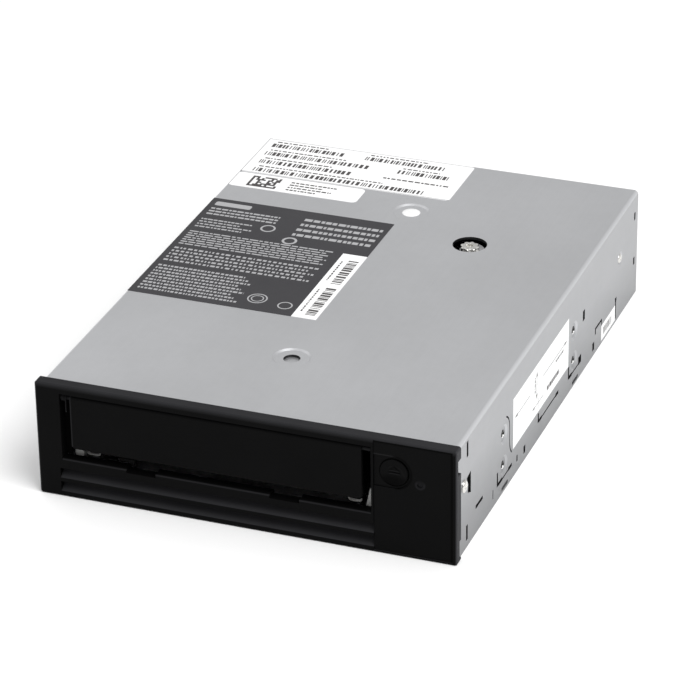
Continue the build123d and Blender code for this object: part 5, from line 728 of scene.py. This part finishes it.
# Snap plug in the rear dimple, and the pad that shows under the front dimple's hole
FRONT_DIMPLE, REAR_DIMPLE = 41.3, 161.2  # behind the chassis front
PAD_SINK, PLUG_SINK = 1.0, 0.5  # below the top
PAD = [(0, -1.4), (5.4, -1.4), (5.6, -1.2), (5.6, -0.62), (5.4, -0.52), (0, -0.52)]
PLUG = [
    (0, -1.4), (2.7, -1.4), (2.85, -0.9), (2.85, -0.15), (3.3, -0.15),
    (3.35, 0.0), (3.1, 0.18), (1.8, 0.3), (0, 0.33),
]
bm = bmesh.new()
lathe(bm, PLUG, frame_at(0, CHASSIS_FRONT + REAR_DIMPLE, TOP / MM - PLUG_SINK))
finished("dimple_plug", bm, PLUG_WHITE, smooth=True)
bm = bmesh.new()
lathe(bm, PAD, frame_at(0, CHASSIS_FRONT + FRONT_DIMPLE, TOP / MM - PAD_SINK))
finished("dimple_pad", bm, FINISHES["case_steel"])

# Star-headed screw on the post, with the same lobes in its bore; the profile is (share of the radius, height)
STAR_RADIUS, LOBES, LOBE_HEIGHT = 3.2, 8, 0.34
STAR_PROFILE = (
    (1.0, -1.5), (1.0, -0.3), (0.95, -0.08), (0.88, 0.0),
    (0.42, 0.0), (0.40, -0.06), (0.38, -0.7),
)
star = [(STAR_RADIUS + LOBE_HEIGHT * math.cos(LOBES * a), a) for a in turns(STAR_STEPS)]
post = middle(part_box("post_screw")) / MM
spot = frame_at(post.x, post.y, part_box("post_screw")[1].z / MM)
bm = bmesh.new()
stack(bm, [ring_at(bm, [(r * share * math.cos(a), r * share * math.sin(a), height) for r, a in star], spot)
           for share, height in STAR_PROFILE])
star_head = finished("post_screw_star", bm, FINISHES["screw_steel"])
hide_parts("post_screw")

# Pan-headed casing screws with a cross recess, as (depth, level, seat, head's radius). The profiles are
# (radius, height): the shank's in mm, the head's and the recess's as shares of the head's radius.
CASE_SCREWS = ((5.6, 24.6, 73.025, 2.2), (182.6, 23.9, 72.425, 1.8))
SHANK = ((1.25, -5.0), (1.25, 0.0))
HEAD = ((1.0, 0.0), (1.0, 0.3), (0.95, 0.5), (0.82, 0.72), (0.66, 0.86))
RECESS_RINGS = ((1.08, 0.90), (1.0, 0.87), (0.7, 0.35))
SCREW_TURN = math.radians(20)
CROSS_CORE, CROSS_ARM, CROSS_SHARPNESS = 0.16, 0.38, 4
angles = turns(SCREW_STEPS)
cross = [CROSS_CORE + CROSS_ARM * abs(math.cos(2 * a)) ** CROSS_SHARPNESS for a in angles]
bm = bmesh.new()
for side, outward in ((1, "X"), (-1, "-X")):
    for depth, level, seat, head_radius in CASE_SCREWS:
        spot = frame_at(side * seat, CHASSIS_FRONT + depth, level, outward)
        spot = spot @ Matrix.Rotation(SCREW_TURN, 4, "Z")
        rows = [([radius] * len(angles), height) for radius, height in SHANK]
        rows += [([head_radius * share] * len(angles), height) for share, height in HEAD]
        rows += [([head_radius * share * arm for arm in cross], height) for share, height in RECESS_RINGS]
        outlines = [[(r * math.cos(a), r * math.sin(a), height) for r, a in zip(radii, angles)]
                    for radii, height in rows]
        stack(bm, [ring_at(bm, outline, spot) for outline in outlines])
screw_heads = finished("case_screw_heads", bm, FINISHES["screw_steel"], smooth=True)
screw_heads.data.set_sharp_from_angle(angle=math.radians(40))
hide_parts("case_screws")

# Threaded collars inside the side mounting holes, each with a rounded polished lip; their colour paints the
# holes' shade and a glint on each lip
COLLAR_SEAT = 71.2
THREADS, THREAD_PITCH, THREAD_WIDTH = 3, 0.38, 0.26
THREAD_OUTER, THREAD_INNER = 1.49, 1.24
LIP_RADIUS, LIP_ROUND, LIP_HEIGHT = 1.13, 0.34, 1.15
LIP_PROFILE = [
    (LIP_RADIUS + LIP_ROUND * math.cos(a), LIP_HEIGHT + LIP_ROUND * math.sin(a)) for a in turns(10)
]
threads = bmesh.new()
lips = bmesh.new()
for side, outward in ((1, "X"), (-1, "-X")):
    for depth in MOUNT_DEPTHS:
        for level in MOUNT_LEVELS:
            spot = frame_at(side * COLLAR_SEAT, CHASSIS_FRONT + depth, level, outward)
            for thread in range(THREADS):
                low, high = THREAD_PITCH * thread, THREAD_PITCH * thread + THREAD_WIDTH
                flat_ring(threads, (0, 0), THREAD_OUTER, THREAD_INNER, low, high, spot, THREAD_STEPS)
            rings = [ring_at(lips, circle(radius, height, LIP_STEPS), spot) for radius, height in LIP_PROFILE]
            skin(lips, rings + rings[:1])
finished("mount_threads", threads, GLINT)
finished("mount_collars", lips, GLINT, smooth=True)

# Fan grille: rings of slots between two crossed spokes, cut through the rear panel
FAN = middle(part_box("fan_frame")) / MM
REAR_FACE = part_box("rear_panel")[1].y / MM
SLOT_RADII = (5.2, 8.6, 12.0, 15.4)
SLOT_WIDTH = 2.4
SPOKE_HALF = 1.0
ARC_STEPS = 14
CUT_REACH = 2.0  # past the panel's outer face, both ways


def slot_outlines():
    """The sixteen arcs between the spokes, as points of (x, z)."""
    for radius in SLOT_RADII:
        outer, inner = radius + SLOT_WIDTH / 2, radius - SLOT_WIDTH / 2
        spread = math.pi / 4 - math.asin(SPOKE_HALF / inner)
        for quarter in turns(4):
            angles = [quarter + spread * (2 * i / ARC_STEPS - 1) for i in range(ARC_STEPS + 1)]
            ends = [(outer, a) for a in angles] + [(inner, a) for a in angles[::-1]]
            yield [(FAN.x + r * math.cos(a), FAN.z + r * math.sin(a)) for r, a in ends]


def loose(name, bm):
    """An object for a modifier, which is no piece."""
    mesh = bpy.data.meshes.new(name)
    bm.to_mesh(mesh)
    bm.free()
    thing = bpy.data.objects.new(name, mesh)
    collection.objects.link(thing)
    return thing


def vented_panel():
    """The rear panel's sheet with the slots cut through it."""
    sheet = bmesh.new()
    sheet.from_mesh(nodes["rear_panel"].data)
    bmesh.ops.remove_doubles(sheet, verts=sheet.verts, dist=1e-6)
    slots = bmesh.new()
    for outline in slot_outlines():
        stack(slots, [ring_at(slots, [(x, y, z) for x, z in outline], Matrix.Identity(4))
                      for y in (REAR_FACE - CUT_REACH, REAR_FACE + CUT_REACH)])
    bmesh.ops.recalc_face_normals(slots, faces=slots.faces)
    plain, cutter = loose("plain_panel", sheet), loose("slot_cutter", slots)
    cut = plain.modifiers.new("slots", "BOOLEAN")
    cut.object, cut.operation, cut.solver = cutter, "DIFFERENCE", "EXACT"
    bpy.context.view_layer.update()
    shaped = plain.evaluated_get(bpy.context.evaluated_depsgraph_get())
    vented = bmesh.new()
    vented.from_mesh(bpy.data.meshes.new_from_object(shaped))
    bpy.data.objects.remove(plain)
    bpy.data.objects.remove(cutter)
    return vented


grille = finished("rear_grille_panel", vented_panel(), FINISHES["case_steel"])
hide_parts("rear_panel")

# Eject sign on the button: a triangle over a bar, which follow the button's dish
DISH_RADIUS, DISH_DEPTH, DISH_DROP = 14.0, 0.6, 1.6
BUTTON_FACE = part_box("eject_button")[0].y / MM
SIGN_ROOT, SIGN_FACE = 0.2, -0.14  # behind the dished face
SIGN_SHAPES = (
    [(-1.9, 0.35), (-0.95, 1.3), (0, 2.25), (0.95, 1.3), (1.9, 0.35), (0.9, 0.35), (0, 0.35), (-0.9, 0.35)],
    [(-1.9, -0.75), (-0.6, -0.75), (0.6, -0.75), (1.9, -0.75),
     (1.9, -0.15), (0.6, -0.15), (-0.6, -0.15), (-1.9, -0.15)],
)


def dish(u, v):
    """Depth of the button's dished face behind its rim."""
    return max(0.0, DISH_DEPTH - DISH_RADIUS + math.sqrt(DISH_RADIUS ** 2 - u ** 2 - (v + DISH_DROP) ** 2))


bm = bmesh.new()
spot = Matrix.Translation((BUTTON.x, 0, BUTTON.z))
for outline in SIGN_SHAPES:
    stack(bm, [ring_at(bm, [(u, BUTTON_FACE + dish(u, v) + sunk, v) for u, v in outline], spot)
               for sunk in (SIGN_ROOT, SIGN_FACE)])
finished("eject_sign", bm, SIGN_PLASTIC, "button")

# Small pieces at the tray's mouth: an outline in x and z, the y of the rear face, and the depth
CUP = (
    (0.0, 1.0), (0.03, 0.45), (0.12, 0.08), (0.2, 0.0), (0.8, 0.0), (0.88, 0.08), (0.97, 0.45),
    (1.0, 1.0), (0.92, 1.0), (0.84, 0.6), (0.76, 0.5), (0.24, 0.5), (0.16, 0.6), (0.08, 1.0),
)


def cup(x, z, w, h):
    """A shallow cup's outline in a box."""
    return [(x + w * u, z + h * v) for u, v in CUP]


HOOK = [(-47.4, 13.8), (-43.7, 13.5), (-43.7, 12.3), (-41.8, 12.3), (-41.8, 14.6), (-47.4, 14.6)]
# The pale pieces are partly real parts and partly painted highlight: their pale colour stands for light
# caught at the mouth
for name, outline, y, deep, material, body in (
    ("mouth_pad", rounded(-63.2, 12.8, 3.0, 2.4, 0.528, 3), -96.2, 2.1, NYLON_HIGHLIGHT, "tray"),
    ("mouth_strip", cup(-59.4, 13.3, 4.8, 1.0), -96.45, 0.75, NYLON_HIGHLIGHT, "tray"),
    ("mouth_strip_right", cup(33.9, 13.3, 4.7, 1.1), -96.45, 0.75, NYLON_HIGHLIGHT, "tray"),
    ("mouth_hook", HOOK, -96.4, 1.8, HOOK_PLASTIC, "tray"),
    ("mouth_seal", rounded(-66.8, 14.7, 3.5, 23.9, 0.5, 3), -98.85, 1.6, FOAM, "chassis"),
):
    plate(name, outline, deep, frame_at(0, y, 0, "-Y"), material, body)
bm = bmesh.new()
cheek = frame_at(0, -99.6, 0, "-Y")
prism(bm, [(41.3, 13.9), (44.0, 13.9), (44.0, 20.9), (42.7, 20.9)], 0, 0.7, cheek)
prism(bm, [(41.6, 13.9), (42.3, 13.9), (42.3, 15.6), (41.6, 15.6)], -3.4, 0.1, cheek)
finished("mouth_cheek", bm, DULL_NYLON_HIGHLIGHT, "tray")

# Floor, in metres, with an opening just inside the object's outline, which shows the underside from below
FLOOR_HALF = 4
OPENING_LOW, OPENING_HIGH = (-0.0715, -0.0985), (0.0715, 0.1025)
PAPER_DARK, PAPER_LIGHT = (0.97,) * 3, (0.98,) * 3
corners = []
for low, high in zip(((-FLOOR_HALF,) * 2, OPENING_LOW), ((FLOOR_HALF,) * 2, OPENING_HIGH)):
    corners += [(low[0], low[1], 0), (high[0], low[1], 0), (high[0], high[1], 0), (low[0], high[1], 0)]
mesh = bpy.data.meshes.new("floor")
mesh.from_pydata(corners, [], [(i, (i + 1) % 4, 4 + (i + 1) % 4, 4 + i) for i in range(4)])
floor = bpy.data.objects.new("floor", mesh)
collection.objects.link(floor)
paper = Finish("floor_paper", 0.9, Specular_IOR_Level=0.0)
paper.colour(paper.ramp(paper.noise(3, 2), PAPER_DARK, PAPER_LIGHT))
floor.data.materials.append(paper.material)

# Light
WORLD_STRENGTH = 0.62
world = bpy.data.worlds.new("studio")
bpy.context.scene.world = world
world.use_nodes = True
sky = world.node_tree.nodes["Background"]
sky.inputs["Color"].default_value = (*WHITE, 1)
sky.inputs["Strength"].default_value = WORLD_STRENGTH


def softbox(name, place, size, power):
    """A square area lamp aimed at the origin."""
    lamp = bpy.data.lights.new(name, "AREA")
    lamp.shape = "SQUARE"
    lamp.size = size
    lamp.energy = power
    holder = bpy.data.objects.new(name, lamp)
    collection.objects.link(holder)
    holder.location = place
    holder.rotation_euler = (-Vector(place)).to_track_quat("-Z", "Y").to_euler()


softbox("key", (0.95, -0.55, 1.55), size=1.2, power=27)
softbox("fill", (-1.2, 0.6, 1.6), size=1.4, power=4)

# Camera at the photograph's angle
EYE = Vector((0.39066, -1.03436, 0.59562))
RIGHT = Vector((0.937379, 0.348063, -0.013112))
DOWN = Vector((0.151046, -0.440129, -0.885139))
FORWARD = Vector((-0.313855, 0.827731, -0.465142))
camera = bpy.data.cameras.new("camera")
camera.sensor_width = 36
camera.lens = 182.15
camera.clip_start = 0.05
camera.clip_end = 20
holder = bpy.data.objects.new("camera", camera)
collection.objects.link(holder)
holder.matrix_world = Matrix.Translation(EYE) @ Matrix((RIGHT, -DOWN, -FORWARD)).transposed().to_4x4()
bpy.context.scene.camera = holder

bpy.context.scene.view_settings.view_transform = "Standard"
